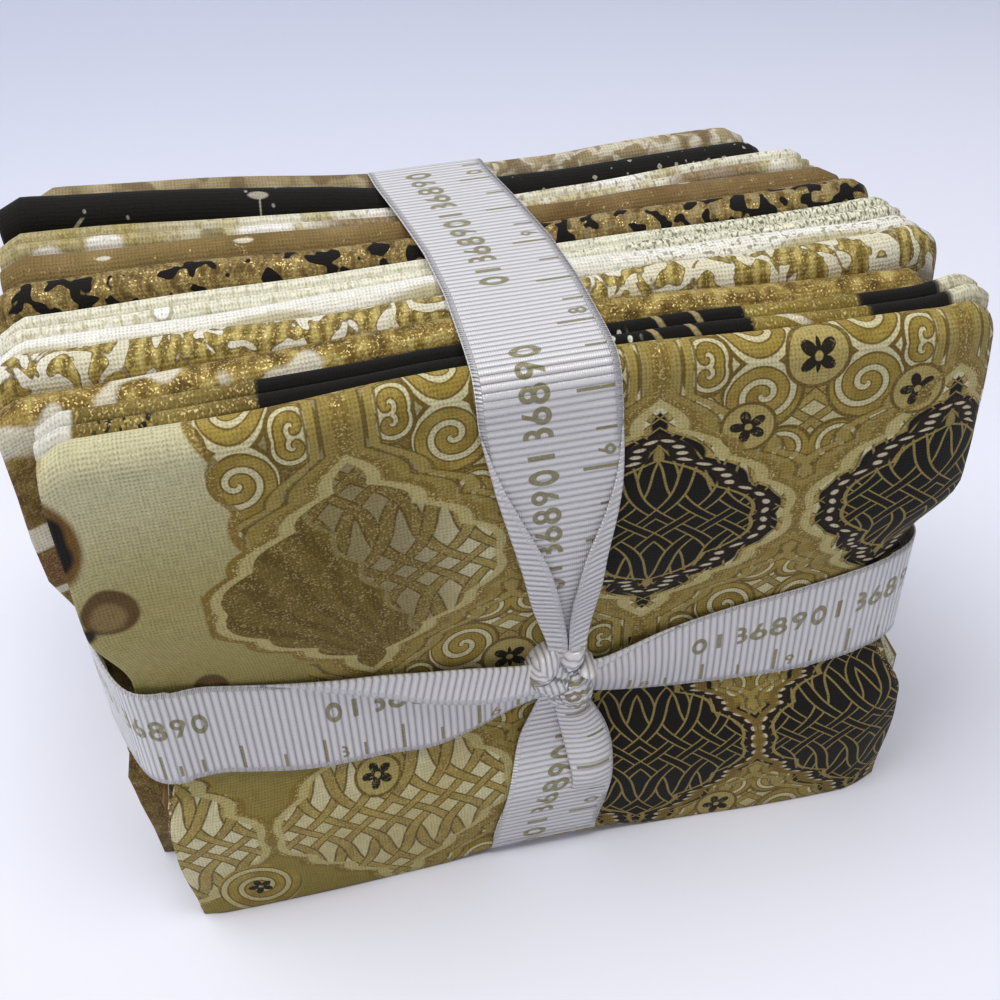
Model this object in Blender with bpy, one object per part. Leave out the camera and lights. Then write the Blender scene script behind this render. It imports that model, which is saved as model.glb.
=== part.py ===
import math

import bmesh
import bpy

# Eleven folded fat quarters stand on edge, tied once round each way with a ribbon.
# All working sizes are in millimetres and are turned into metres when a mesh is made.
MM = 0.001

# Front and back faces of the stack, before the ribbon draws them in
FRONT_AT_LEFT = -41.8
FRONT_AT_RIGHT = -44.6
BACK_AT_LEFT = 48.2
BACK_AT_RIGHT = 38.4
HALF_SPAN = 75.0

# The ribbon and how far it sinks into the cloth
RIBBON_X = 2.5
RIBBON_HALF = 11.1
TROUGH_HALF = 11.6
RIBBON_THICK = 1.0
RIBBON_CLEAR = 0.55
RIBBON_SIDE_Z = 52.0
RIBBON_SAG = 6.5
SAG_SPAN = 60.0
KNOT_X = 3.9
KNOT_Z = 45.8
KNOT_SIZE = (5.6, 3.0, 5.2)
PINCH_FRONT = 3.2
PINCH_BACK = 4.2
PINCH_REACH = 27.0
WAIST_FRONT = 2.6
WAIST_BACK = 2.4
WAIST_SLOPE = 15.0
WAIST_LEFT = 4.0
WAIST_RIGHT = 6.5
FOOT_TOP = 60.0
FOOT_LEFT = 3.4
FOOT_RIGHT = 1.8
FOOT_TUCK = 1.8
FLOOR_NOTCH = 1.7

# Bulges of the cloth above and below the ribbon
BELLY_HIGH = 1.4
BELLY_LOW = 1.5
CORNER_TURN = 2.6
TURN_START = 65.0

# Heights
TOP_AT_RIBBON = 111.5
SHOULDER = 4.2

# One fat quarter: its thickness is shared by four layers and three gaps
LAYER = 0.20
GAP = (1.0 - 4 * LAYER) / 3
PITCH = LAYER + GAP
LEVELS = 6
PIECE_GAP = 0.5
END_LENGTH = 2.6
END_DROP = 2.2
END_THIN = 0.80

# Centres the box of the whole bundle on the origin
SHIFT_X = 0.0
SHIFT_Y = -1.69

# Front to back: name, fold, left end, right end, top at the left end, top at the right end
CLOTHS = [
    ("cloth_01_damask", "book", -70.6, 75.6, 111.0, 112.0),
    ("cloth_02_black_gold", "zigzag", -71.6, 79.2, 111.0, 112.8),
    ("cloth_03_gold_roll", "book", -77.6, 72.5, 109.6, 111.6),
    ("cloth_04_white_scroll", "book", -78.6, 77.8, 112.4, 113.8),
    ("cloth_05_pale_edge", "book", -78.0, 79.1, 110.0, 112.2),
    ("cloth_06_pebble", "zigzag", -79.2, 80.2, 109.8, 112.4),
    ("cloth_07_blotch", "book", -80.0, 77.4, 112.4, 113.0),
    ("cloth_08_bronze", "book", -79.0, 74.5, 113.4, 112.6),
    ("cloth_09_cream_floral", "zigzag", -80.2, 72.9, 114.6, 113.8),
    ("cloth_10_black_fleck", "book", -79.6, 66.5, 115.8, 112.2),
    ("cloth_11_tan", "book", -74.4, 64.8, 114.6, 112.0),
]

# Ribbon along the front, right to left: x, height of its middle, half its width, lift, thickness
FRONT_RUN = [
    (61.0, 51.0, 11.1, 0.4, 1.0),
    (50.0, 48.6, 10.0, 0.2, 1.0),
    (38.0, 47.8, 8.4, 0.0, 1.0),
    (26.0, 47.4, 6.2, 0.2, 1.1),
    (16.5, 46.9, 4.4, 0.7, 1.4),
    (9.5, 46.3, 3.4, 1.2, 2.0),
    (4.0, 45.9, 3.2, 1.4, 2.4),
    (-1.5, 46.6, 3.6, 1.2, 2.0),
    (-8.0, 47.6, 4.8, 0.7, 1.4),
    (-18.0, 47.0, 7.6, 0.2, 1.1),
    (-30.0, 46.4, 9.8, 0.0, 1.0),
    (-43.0, 47.6, 11.0, 0.0, 1.0),
    (-56.0, 50.8, 11.1, 0.0, 1.0),
]

# Ribbon down the front, bottom to top: height, x of its middle, half its width, lift, thickness
DOWN_RUN = [
    (5.0, 2.4, 10.8, 0.0, 1.0),
    (14.0, 2.6, 9.6, 0.0, 1.0),
    (24.0, 3.0, 8.0, 0.0, 1.0),
    (34.0, 3.5, 5.8, 0.3, 1.2),
    (41.0, 3.8, 3.6, 0.9, 1.8),
    (46.0, 3.9, 3.0, 1.2, 2.4),
    (51.0, 3.9, 3.6, 0.9, 1.8),
    (58.0, 4.2, 4.8, 0.3, 1.3),
    (68.0, 4.4, 6.4, 0.0, 1.1),
    (80.0, 4.5, 8.2, 0.0, 1.0),
    (94.0, 3.6, 10.2, 0.0, 1.0),
    (104.0, 2.8, 11.0, 0.0, 1.0),
]

# Ribbon over the top, front to back: y, x of its middle
TOP_RUN = [(-32.0, 3.0), (-15.0, 3.6), (0.0, 3.2), (15.0, 1.6), (30.0, -0.4)]

# Ribbon along the back, right to left: x, lift
BACK_RUN = [(48.0, 0.0), (30.0, 0.3), (15.0, 1.4), (-10.0, 1.4), (-26.0, 0.3), (-46.0, 0.0)]


def clear_scene():
    for old in list(bpy.data.objects):
        bpy.data.objects.remove(old, do_unlink=True)


def mix(first, last, share):
    return first + (last - first) * share


def ease(share):
    share = min(1.0, max(0.0, share))
    return share * share * (3.0 - 2.0 * share)


def bump(value, middle, reach):
    return math.exp(-(((value - middle) / reach) ** 2))


def left_share(x):
    return (x + HALF_SPAN) / (2.0 * HALF_SPAN)


def ribbon_middle(x):
    """Height of the middle of the ribbon that goes round the sides."""
    away = min(1.0, abs(x - RIBBON_X) / SAG_SPAN)
    return RIBBON_SIDE_Z - RIBBON_SAG * (1.0 - away**4)


def waist(x, z):
    """1 under the ribbon round the sides, fading to 0 above and below it."""
    beyond = abs(z - ribbon_middle(x)) - TROUGH_HALF
    return 1.0 - ease(beyond / WAIST_SLOPE)


def pinch(x):
    """1 under the ribbon over the top, fading to 0 on both sides of it."""
    beyond = max(0.0, abs(x - RIBBON_X) - TROUGH_HALF)
    return bump(beyond, 0.0, PINCH_REACH)


def belly(z):
    return BELLY_HIGH * bump(z, 84.0, 17.0) + BELLY_LOW * bump(z, 19.0, 12.0)


def foot(z):
    """1 at the floor, fading to 0 at the ribbon: the stack narrows towards its foot."""
    return max(0.0, 1.0 - z / FOOT_TOP)


def front_face(x, z):
    y = mix(FRONT_AT_LEFT, FRONT_AT_RIGHT, left_share(x))
    y += PINCH_FRONT * pinch(x) * mix(0.55, 1.0, ease(z / 60.0))
    y += WAIST_FRONT * waist(x, z) - belly(z)
    y += CORNER_TURN * ease((x - TURN_START) / 12.0)
    y += FOOT_TUCK * foot(z) * (1.0 - left_share(x))
    return y


def back_face(x, z):
    y = mix(BACK_AT_LEFT, BACK_AT_RIGHT, left_share(x))
    y -= PINCH_BACK * pinch(x) * mix(0.55, 1.0, ease(z / 60.0))
    y -= WAIST_BACK * waist(x, z) - 0.8 * belly(z)
    return y


def drawn_in_x(x, z):
    """The ends of the stack are drawn in under the ribbon and towards the floor."""
    side, depth, narrowing = (-1.0, WAIST_LEFT, FOOT_LEFT) if x < 0 else (1.0, WAIST_RIGHT, FOOT_RIGHT)
    inward = depth * waist(x, z) + narrowing * foot(z)
    return x - side * inward * ease((abs(x) - 28.0) / 44.0)


def top_height(cloth, x):
    """Height of a cloth's top fold, which the ribbon presses level at the middle."""
    left, right, top_left, top_right = cloth[2:]
    inner_left = RIBBON_X - TROUGH_HALF
    inner_right = RIBBON_X + TROUGH_HALF
    if x < inner_left:
        return mix(TOP_AT_RIBBON, top_left, ((inner_left - x) / (inner_left - left)) ** 0.8)
    if x > inner_right:
        return mix(TOP_AT_RIBBON, top_right, ((x - inner_right) / (right - inner_right)) ** 0.8)
    return TOP_AT_RIBBON


def floor_height(x):
    """The cloth stands on the floor but for a shallow notch where the ribbon passes under it."""
    beyond = abs(x - RIBBON_X) - TROUGH_HALF
    return FLOOR_NOTCH * (1.0 - ease(beyond / 11.0))


def place(index, x, across, z):
    """A point of cloth number index: across runs from 0 at its front face to 1 at its back."""
    front = front_face(x, z)
    back = back_face(x, z)
    step = (back - front + PIECE_GAP) / len(CLOTHS)
    y = front + step * index + (step - PIECE_GAP) * across
    return drawn_in_x(x, z) + SHIFT_X, y + SHIFT_Y, z


def going_up(layer, first=0):
    """Pairs of points on the two faces of a layer, from its foot to its shoulder."""
    near = layer * PITCH
    far = near + LAYER
    return [((near, level, 0.0), (far, level, 0.0)) for level in range(first, LEVELS)]


def going_down(layer, first=0):
    return [(far, near) for near, far in going_up(layer, first)[::-1]]


def top_bend(near, far, steps):
    """Pairs of points over a fold. Each side is (start, end, height above the shoulder)."""
    pairs = []
    for k in range(steps):
        angle = math.pi * (k + 1) / (steps + 1)
        pair = []
        for start, end, height in (near, far):
            middle, half = (start + end) / 2, (start - end) / 2
            pair.append((middle + half * math.cos(angle), LEVELS - 1, height * math.sin(angle)))
        pairs.append(tuple(pair))
    return pairs


def foot_bend(first, last):
    """Points round the foot of a fold: outer (low) and inner (high) for each of four steps."""
    if first > last:
        outer_first, outer_last = first * PITCH + LAYER, last * PITCH
        inner_first, inner_last = first * PITCH, last * PITCH + LAYER
    else:
        outer_first, outer_last = first * PITCH, last * PITCH + LAYER
        inner_first, inner_last = first * PITCH + LAYER, last * PITCH
    inset = 0.05 if first < last else -0.05
    low = [
        (outer_first, 0, 1.0),
        (outer_first + inset, 0, 0.0),
        (outer_last - inset, 0, 0.0),
        (outer_last, 0, 1.0),
    ]
    high = [
        (inner_first, 0, 2.2),
        (inner_first, 0, 1.6),
        (inner_last, 0, 1.6),
        (inner_last, 0, 2.2),
    ]
    return low, high


def book_section():
    """Folded in half and in half again: one wide fold on top with a narrower one inside it."""
    pairs = going_up(0)
    pairs += top_bend((0.0, 1.0, SHOULDER), (LAYER, 3 * PITCH, 2.7), 5)
    pairs += going_down(3, 1)
    low, high = foot_bend(3, 2)
    pairs += list(zip(low, high))
    pairs += going_up(2, 1)
    pairs += top_bend((2 * PITCH, PITCH + LAYER, 0.7), (2 * PITCH + LAYER, PITCH, 2.2), 3)
    pairs += going_down(1)
    return pairs


def zigzag_section():
    """Folded back and forth: two thin folds side by side on top."""
    pairs = going_up(0)
    pairs += top_bend((0.0, PITCH + LAYER, 3.0), (LAYER, PITCH, 1.4), 3)
    pairs += going_down(1, 1)
    low, high = foot_bend(1, 2)
    pairs += list(zip(high, low))
    pairs += going_up(2, 1)
    pairs += top_bend((2 * PITCH, 1.0, 3.0), (2 * PITCH + LAYER, 3 * PITCH, 1.4), 3)
    pairs += going_down(3)
    return pairs


def level_heights(cloth, x):
    """The heights of the six levels at which the faces of a cloth bend."""
    middle = ribbon_middle(x)
    low = floor_height(x)
    shoulder = top_height(cloth, x) - SHOULDER
    return [low, middle - 28.0, middle - TROUGH_HALF, middle + TROUGH_HALF, middle + 29.0, shoulder]


def stations(cloth):
    """The places along x where the section is drawn: x, share of thickness and drop of the top."""
    left, right = cloth[2], cloth[3]
    inside = [-46.0, -20.0, RIBBON_X - TROUGH_HALF, RIBBON_X + TROUGH_HALF, 25.0, 50.0]
    if right - END_LENGTH > TURN_START + 2.0:
        inside.append(TURN_START)
    rows = [(left, END_THIN, END_DROP), (left + END_LENGTH, 1.0, 0.0)]
    rows += [(x, 1.0, 0.0) for x in inside]
    rows += [(right - END_LENGTH, 1.0, 0.0), (right, END_THIN, END_DROP)]
    return rows


def cloth_rings(index, cloth):
    pairs = book_section() if cloth[1] == "book" else zigzag_section()
    section = [near for near, far in pairs] + [far for near, far in pairs[::-1]]
    rings = []
    for x, thin, drop in stations(cloth):
        heights = level_heights(cloth, x)
        heights[-1] -= drop
        ring = []
        for across, level, above in section:
            shifted = 0.5 + (across - 0.5) * thin
            ring.append(place(index, x, shifted, heights[level] + above))
        rings.append(ring)
    return section, rings


def make_mesh(name, points, faces):
    mesh = bpy.data.meshes.new(name)
    mesh.from_pydata([[c * MM for c in p] for p in points], [], faces)
    work = bmesh.new()
    work.from_mesh(mesh)
    bmesh.ops.recalc_face_normals(work, faces=work.faces[:])
    work.to_mesh(mesh)
    work.free()
    thing = bpy.data.objects.new(name, mesh)
    bpy.context.collection.objects.link(thing)
    return thing


def make_cloth(index, cloth):
    """Lofts the folded section along x. Every face of every layer is split the same way."""
    section, rings = cloth_rings(index, cloth)
    count = len(section)
    points = [p for ring in rings for p in ring]
    faces = []
    for row in range(len(rings) - 1):
        for k in range(count):
            after = (k + 1) % count
            low_left, high_left = row * count + k, row * count + after
            low_right, high_right = low_left + count, high_left + count
            upward = (section[after][1], section[after][2]) >= (section[k][1], section[k][2])
            if upward:
                faces += [(low_left, high_left, high_right), (low_left, high_right, low_right)]
            else:
                faces += [(low_left, high_left, low_right), (high_left, high_right, low_right)]
    last = len(points) - count
    for k in range(count // 2 - 1):
        opposite = count - 1 - k
        for start in (0, last):
            faces.append((start + k, start + k + 1, start + opposite - 1))
            faces.append((start + k, start + opposite - 1, start + opposite))
    return make_mesh(cloth[0], points, faces)


def outward_offset(points, distances):
    """Moves each point of a closed loop outwards by its own distance."""
    count = len(points)
    moved = []
    for k in range(count):
        before, here, after = points[k - 1], points[k], points[(k + 1) % count]
        normals = []
        for a, b in ((before, here), (here, after)):
            dx, dy = b[0] - a[0], b[1] - a[1]
            size = math.hypot(dx, dy)
            normals.append((dy / size, -dx / size))
        nx, ny = normals[0][0] + normals[1][0], normals[0][1] + normals[1][1]
        scale = 2.0 / (nx * nx + ny * ny)
        scale = min(scale, 1.2)
        moved.append((here[0] + nx * scale * distances[k], here[1] + ny * scale * distances[k]))
    return moved


def convex_hull(points):
    """The outline of a set of points, anticlockwise."""
    ordered = sorted(set(points))
    halves = []
    for sequence in (ordered, ordered[::-1]):
        half = []
        for p in sequence:
            while len(half) > 1:
                a, b = half[-2], half[-1]
                turn = (b[0] - a[0]) * (p[1] - a[1]) - (b[1] - a[1]) * (p[0] - a[0])
                if turn > 0:
                    break
                half.pop()
            half.append(p)
        halves += half[:-1]
    return halves


def waist_outline():
    """Outline of the stack, seen from above, at the height of the ribbon."""
    found = []
    for index, cloth in enumerate(CLOTHS):
        for x in (cloth[2], cloth[3]):
            for z in (RIBBON_SIDE_Z - RIBBON_HALF, RIBBON_SIDE_Z + RIBBON_HALF):
                for across in (0.1, 0.9):
                    found.append(place(index, x, across, z)[:2])
            inward = END_LENGTH if x < 0 else -END_LENGTH
            for across in (0.0, 1.0):
                found.append(place(index, x + inward, across, ribbon_middle(x))[:2])
    return convex_hull(found)


def side_loop_points():
    """The ribbon round the sides: inner line seen from above, with its height and width."""
    rows = []
    for x, middle, half, lift, thick in FRONT_RUN[::-1]:
        y = front_face(x, middle) - RIBBON_CLEAR - lift + SHIFT_Y
        rows.append((x + SHIFT_X, y, middle, half, thick))
    hull = waist_outline()
    hull = outward_offset(hull, [RIBBON_CLEAR + 0.2] * len(hull))
    right = sorted([p for p in hull if p[0] > 56.0], key=lambda p: p[1])
    left = sorted([p for p in hull if p[0] < -56.0], key=lambda p: -p[1])
    rows += [(x, y, RIBBON_SIDE_Z, RIBBON_HALF, RIBBON_THICK) for x, y in spaced_out(right)]
    for x, lift in BACK_RUN:
        middle = ribbon_middle(x)
        y = back_face(x, middle) + RIBBON_CLEAR + lift + SHIFT_Y
        rows.append((x + SHIFT_X, y, middle, RIBBON_HALF, RIBBON_THICK))
    rows += [(x, y, RIBBON_SIDE_Z, RIBBON_HALF, RIBBON_THICK) for x, y in spaced_out(left)]
    return rows


def spaced_out(points):
    """Leaves out points that crowd the one before, but never the first or the last."""
    kept = [points[0]]
    for p in points[1:-1]:
        if math.dist(p, kept[-1]) > 2.5 and math.dist(p, points[-1]) > 2.5:
            kept.append(p)
    return kept + [points[-1]]


def arc_rows(face, inward, x):
    """The ribbon over a top edge of the stack, as places measured from that face."""
    rows = []
    for degrees in (20.0, 45.0, 70.0):
        a = math.radians(degrees)
        off = inward * (3.6 - 4.2 * math.cos(a))
        rows.append((face, TOP_AT_RIBBON - SHOULDER + 4.9 * math.sin(a), off, x, RIBBON_HALF, RIBBON_THICK))
    return rows


def down_rows():
    """The ribbon over the top: face followed, height, distance off it, x, half width, thickness."""
    low = FLOOR_NOTCH - 0.5
    clear = RIBBON_CLEAR
    high = TOP_AT_RIBBON + 0.65
    rows = [("back", low, clear, 2.0, 11.0, RIBBON_THICK)]
    rows += [("level", low, y, 2.0, 11.0, RIBBON_THICK) for y in (25.0, 0.0, -24.0)]
    rows += [("front", low, -clear, 2.0, 11.0, RIBBON_THICK)]
    rows += [("front", z, -clear - lift, x, half, thick) for z, x, half, lift, thick in DOWN_RUN]
    rows += arc_rows("front", 1.0, 2.6)
    rows += [("level", high, y, x, RIBBON_HALF, RIBBON_THICK) for y, x in TOP_RUN]
    rows += arc_rows("back", -1.0, -0.7)[::-1]
    back_heights = (104.0, 90.0, 75.0, 58.0, 46.0, 34.0, 20.0, 8.0)
    rows += [("back", z, clear, 1.2, RIBBON_HALF, RIBBON_THICK) for z in back_heights]
    return rows


def down_point(row, x):
    """Inner side of the ribbon at one place across its width, as (y, z)."""
    face, z, off = row[:3]
    arc_z = min(z, TOP_AT_RIBBON - SHOULDER)
    if face == "front":
        return front_face(x, arc_z) + off, z
    if face == "back":
        return back_face(x, arc_z) + off, z
    return off, z


def loop_mesh(name, rings):
    """A closed band: each ring has the same number of corners."""
    count = len(rings[0])
    points = [p for ring in rings for p in ring]
    faces = []
    for row in range(len(rings)):
        nxt = (row + 1) % len(rings)
        for k in range(count):
            after = (k + 1) % count
            faces.append((row * count + k, row * count + after, nxt * count + after, nxt * count + k))
    return make_mesh(name, points, faces)


def side_loop():
    rows = side_loop_points()
    inner = [(r[0], r[1]) for r in rows]
    outer = outward_offset(inner, [r[4] for r in rows])
    rings = []
    for (ix, iy), (ox, oy), row in zip(inner, outer, rows):
        low, high = row[2] - row[3], row[2] + row[3]
        rings.append([(ix, iy, low), (ix, iy, high), (ox, oy, high), (ox, oy, low)])
    return loop_mesh("ribbon_tie", rings)


def down_loop():
    rows = down_rows()
    middle = [down_point(row, row[3]) for row in rows]
    outer = outward_offset(middle[::-1], [row[5] for row in rows][::-1])[::-1]
    rings = []
    for row, (my, mz), (oy, oz) in zip(rows, middle, outer):
        left, right = row[3] - row[4], row[3] + row[4]
        (ly, lz), (ry, rz) = down_point(row, left), down_point(row, right)
        thick_y, thick_z = oy - my + SHIFT_Y, oz - mz
        left, right = left + SHIFT_X, right + SHIFT_X
        inner = [(left, ly + SHIFT_Y, lz), (right, ry + SHIFT_Y, rz)]
        outside = [(right, ry + thick_y, rz + thick_z), (left, ly + thick_y, lz + thick_z)]
        rings.append(inner + outside)
    return loop_mesh("ribbon_down", rings)


def knot():
    work = bmesh.new()
    bmesh.ops.create_icosphere(work, subdivisions=2, radius=1.0)
    middle_y = front_face(KNOT_X, KNOT_Z) - KNOT_SIZE[1] - RIBBON_CLEAR
    for v in work.verts:
        ridge = 1.0 + 0.10 * math.cos(4.0 * math.atan2(v.co.z, v.co.x))
        v.co.x = (v.co.x * KNOT_SIZE[0] * ridge + KNOT_X + SHIFT_X) * MM
        v.co.y = (v.co.y * KNOT_SIZE[1] + middle_y + SHIFT_Y) * MM
        v.co.z = (v.co.z * KNOT_SIZE[2] * ridge + KNOT_Z) * MM
    mesh = bpy.data.meshes.new("knot")
    work.to_mesh(mesh)
    work.free()
    thing = bpy.data.objects.new("knot", mesh)
    bpy.context.collection.objects.link(thing)
    return thing


def unite(base, others):
    """Joins the solids into one and leaves only the base object."""
    for other in others:
        step = base.modifiers.new("unite", "BOOLEAN")
        step.operation = "UNION"
        step.solver = "EXACT"
        step.object = other
    view = bpy.context.evaluated_depsgraph_get()
    merged = bpy.data.meshes.new_from_object(base.evaluated_get(view))
    base.modifiers.clear()
    base.data = merged
    for other in others:
        bpy.data.objects.remove(other, do_unlink=True)
    return base


def give_material(thing, name, colour, roughness):
    material = bpy.data.materials.new(name)
    material.use_nodes = True
    shader = material.node_tree.nodes["Principled BSDF"]
    shader.inputs["Base Color"].default_value = (*colour, 1.0)
    shader.inputs["Roughness"].default_value = roughness
    thing.data.materials.clear()
    thing.data.materials.append(material)


# Plain colours of the cloths, front to back
COLOURS = [
    (0.58, 0.52, 0.30),
    (0.09, 0.08, 0.05),
    (0.46, 0.33, 0.10),
    (0.72, 0.66, 0.45),
    (0.82, 0.81, 0.70),
    (0.70, 0.69, 0.55),
    (0.26, 0.16, 0.06),
    (0.24, 0.13, 0.05),
    (0.72, 0.68, 0.50),
    (0.035, 0.034, 0.032),
    (0.30, 0.22, 0.12),
]


def build():
    clear_scene()
    root = bpy.data.objects.new("root", None)
    bpy.context.collection.objects.link(root)
    pieces = []
    for index, cloth in enumerate(CLOTHS):
        piece = make_cloth(index, cloth)
        give_material(piece, cloth[0], COLOURS[index], 0.85)
        pieces.append(piece)
    tie = unite(side_loop(), [down_loop(), knot()])
    give_material(tie, "ribbon_tie", (0.82, 0.82, 0.85), 0.5)
    pieces.append(tie)
    for piece in pieces:
        piece.parent = root


build()
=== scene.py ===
import math

import bpy
import numpy as np
from mathutils import Matrix, Vector


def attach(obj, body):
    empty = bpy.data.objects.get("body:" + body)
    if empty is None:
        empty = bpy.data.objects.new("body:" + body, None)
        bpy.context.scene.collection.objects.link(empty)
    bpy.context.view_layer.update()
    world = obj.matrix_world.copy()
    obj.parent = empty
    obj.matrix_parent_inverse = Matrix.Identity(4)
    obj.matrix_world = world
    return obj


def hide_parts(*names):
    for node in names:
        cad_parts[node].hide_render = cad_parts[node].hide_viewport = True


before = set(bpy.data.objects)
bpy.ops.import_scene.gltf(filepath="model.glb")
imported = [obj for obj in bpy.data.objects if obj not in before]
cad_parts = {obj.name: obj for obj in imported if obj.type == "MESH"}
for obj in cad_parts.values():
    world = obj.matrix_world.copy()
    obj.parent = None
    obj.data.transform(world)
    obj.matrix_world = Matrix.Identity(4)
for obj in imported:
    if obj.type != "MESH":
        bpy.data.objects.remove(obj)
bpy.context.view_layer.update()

MM = 0.001

# Stack of folded cloth, in millimetres, as in the solids: front at -Y, ends at -X and +X
FRONT_AT_LEFT = -41.8
FRONT_AT_RIGHT = -44.6
BACK_AT_LEFT = 48.2
BACK_AT_RIGHT = 38.4
HALF_SPAN = 75.0
SHIFT_Y = -1.69
PIECE_GAP = 0.5

# How the ribbon draws the stack in
RIBBON_X = 2.5
TROUGH_HALF = 11.6
RIBBON_SIDE_Z = 52.0
RIBBON_SAG = 6.5
SAG_SPAN = 60.0
PINCH_FRONT = 3.2
PINCH_BACK = 4.2
PINCH_REACH = 27.0
PINCH_AT_FLOOR = 0.55
WAIST_FRONT = 2.6
WAIST_BACK = 2.4
WAIST_SLOPE = 15.0
WAIST_LEFT = 4.0
WAIST_RIGHT = 6.5
DRAW_START = 28.0
DRAW_REACH = 44.0

# Foot, corners and top of the stack, and how uneven its faces are
FOOT_TOP = 60.0
FOOT_LEFT = 3.4
FOOT_RIGHT = 1.8
FOOT_TUCK = 1.8
FLOOR_NOTCH = 1.7
NOTCH_REACH = 11.0
CORNER_TURN = 2.6
TURN_START = 65.0
TURN_REACH = 12.0
TOP_AT_RIBBON = 111.5
TOP_CURVE = 0.8
SHOULDER = 4.2
END_DROP = 2.2
BACK_BELLY = 0.8
FRONT_UNEVEN = 0.25
BACK_UNEVEN = 0.35
TOP_UNEVEN = 0.45
LANE_UNEVEN = 1.1

# Swells of the faces above and below the ribbon: how far, height of the middle, reach
BELLIES = ((1.4, 84.0, 17.0), (1.5, 19.0, 12.0))

# One fat quarter: its cut size, and its folds into four layers of four plies each
LAYER_MIDDLES = (0.10, 0.3667, 0.6333, 0.90)
PLY_PITCH = 0.46
CLOTH_THICK = 0.20
FOOT_RADIUS = 1.0
FOOT_LIFT = 0.92
RAW_EDGE_UP = 0.25
WALL_LENGTH = 108.0
END_MARGIN = 0.6
PLY_SLACK = 0.9

# For each fold: the layers in the order of the cut, and the heights of the two arches at the top
FOLDS = {"book": ((0, 3, 2, 1), (3.45, 1.45)), "zigzag": ((0, 1, 2, 3), (2.1, 2.1))}

# Steps and length of an arch over the whole piece, and of one between neighbouring layers
WIDE_ARCH = (13, 10.0)
NARROW_ARCH = (7, 4.2)

# Front to back: name, fold, left end, right end, top at the left end, top at the right end
CLOTHS = [
    ("cloth_01_damask", "book", -70.6, 75.6, 110.6, 111.2),
    ("cloth_02_black_gold", "zigzag", -71.6, 79.2, 111.0, 112.2),
    ("cloth_03_gold_roll", "book", -77.6, 72.5, 108.8, 110.2),
    ("cloth_04_white_scroll", "book", -78.6, 77.8, 111.2, 113.4),
    ("cloth_05_pale_edge", "book", -78.0, 79.1, 108.6, 111.4),
    ("cloth_06_pebble", "zigzag", -79.2, 80.2, 109.2, 112.4),
    ("cloth_07_blotch", "book", -80.0, 77.4, 110.8, 112.6),
    ("cloth_08_bronze", "book", -79.0, 74.5, 111.6, 112.0),
    ("cloth_09_cream_floral", "zigzag", -80.2, 72.9, 112.8, 113.6),
    ("cloth_10_black_fleck", "book", -79.6, 66.5, 115.9, 112.0),
    ("cloth_11_tan", "book", -74.4, 64.8, 113.4, 112.4),
]

# Creases on the front: start x and z, end x and z, half width, height (outward is positive)
CREASES = [
    (-62.0, 63.5, -16.0, 60.5, 4.0, 0.55),
    (-60.0, 33.0, -20.0, 30.0, 4.5, 0.50),
    (-13.0, 58.0, -31.0, 92.0, 3.6, -0.30),
    (-11.0, 60.0, -14.0, 104.0, 3.0, 0.45),
    (14.0, 57.0, 36.0, 82.0, 3.4, -0.30),
    (15.5, 62.0, 17.5, 104.0, 3.0, 0.40),
    (18.0, 63.0, 66.0, 67.0, 4.0, 0.55),
    (-9.0, 34.0, -30.0, 10.0, 3.4, -0.30),
    (16.0, 34.0, 40.0, 10.0, 3.6, -0.30),
    (20.0, 31.0, 68.0, 34.0, 4.2, 0.50),
    (-52.0, 104.0, -30.0, 99.0, 3.0, 0.25),
    (40.0, 101.0, 70.0, 104.0, 3.0, 0.25),
]

# Ribbon: its width, thickness, distance from the cloth, half width where it lies flat, pitch of its ribs
RIBBON_WIDTH = 22.0
RIBBON_THICK = 0.34
RIBBON_CLEAR = 0.75
FULL_HALF = 11.0
RIB_PITCH = 1.27

# Repeat of the row of numerals, and the part of the side loop along the front that keeps its own scale
NUMERAL_RUN = 66.6
FRONT_LENGTH = 118.0

# Added to the width coordinate of the ribbon where its back shows
BACK_FACE = 40.0

# Lanes that the ribbon's length is cut into in its baked picture
BAKE_LANES = 6

# Weave: its repeat, and how often the slubs change along a thread and across it, per millimetre
THREAD_REPEAT = 0.60
SLUB_ALONG = 0.45
SLUB_ACROSS = 3.2

# Relief of the weave and of the ribbon's ribs in millimetres, and roughness of the plain cloth
WEAVE_DEPTH = 0.07
RIB_DEPTH = 0.36
CLOTH_ROUGH = 0.86

# Lattice of pointed ovals on the front, and colours that recur there
OGEE_HALF = 24.0
OGEE_TALL = 58.0
OGEE_X = 20.0
OGEE_Z = 80.0
OUTLINE = "6a5724"
DISC = "a8975a"
PETAL = "231d10"
PALE = "b5a970"

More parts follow.
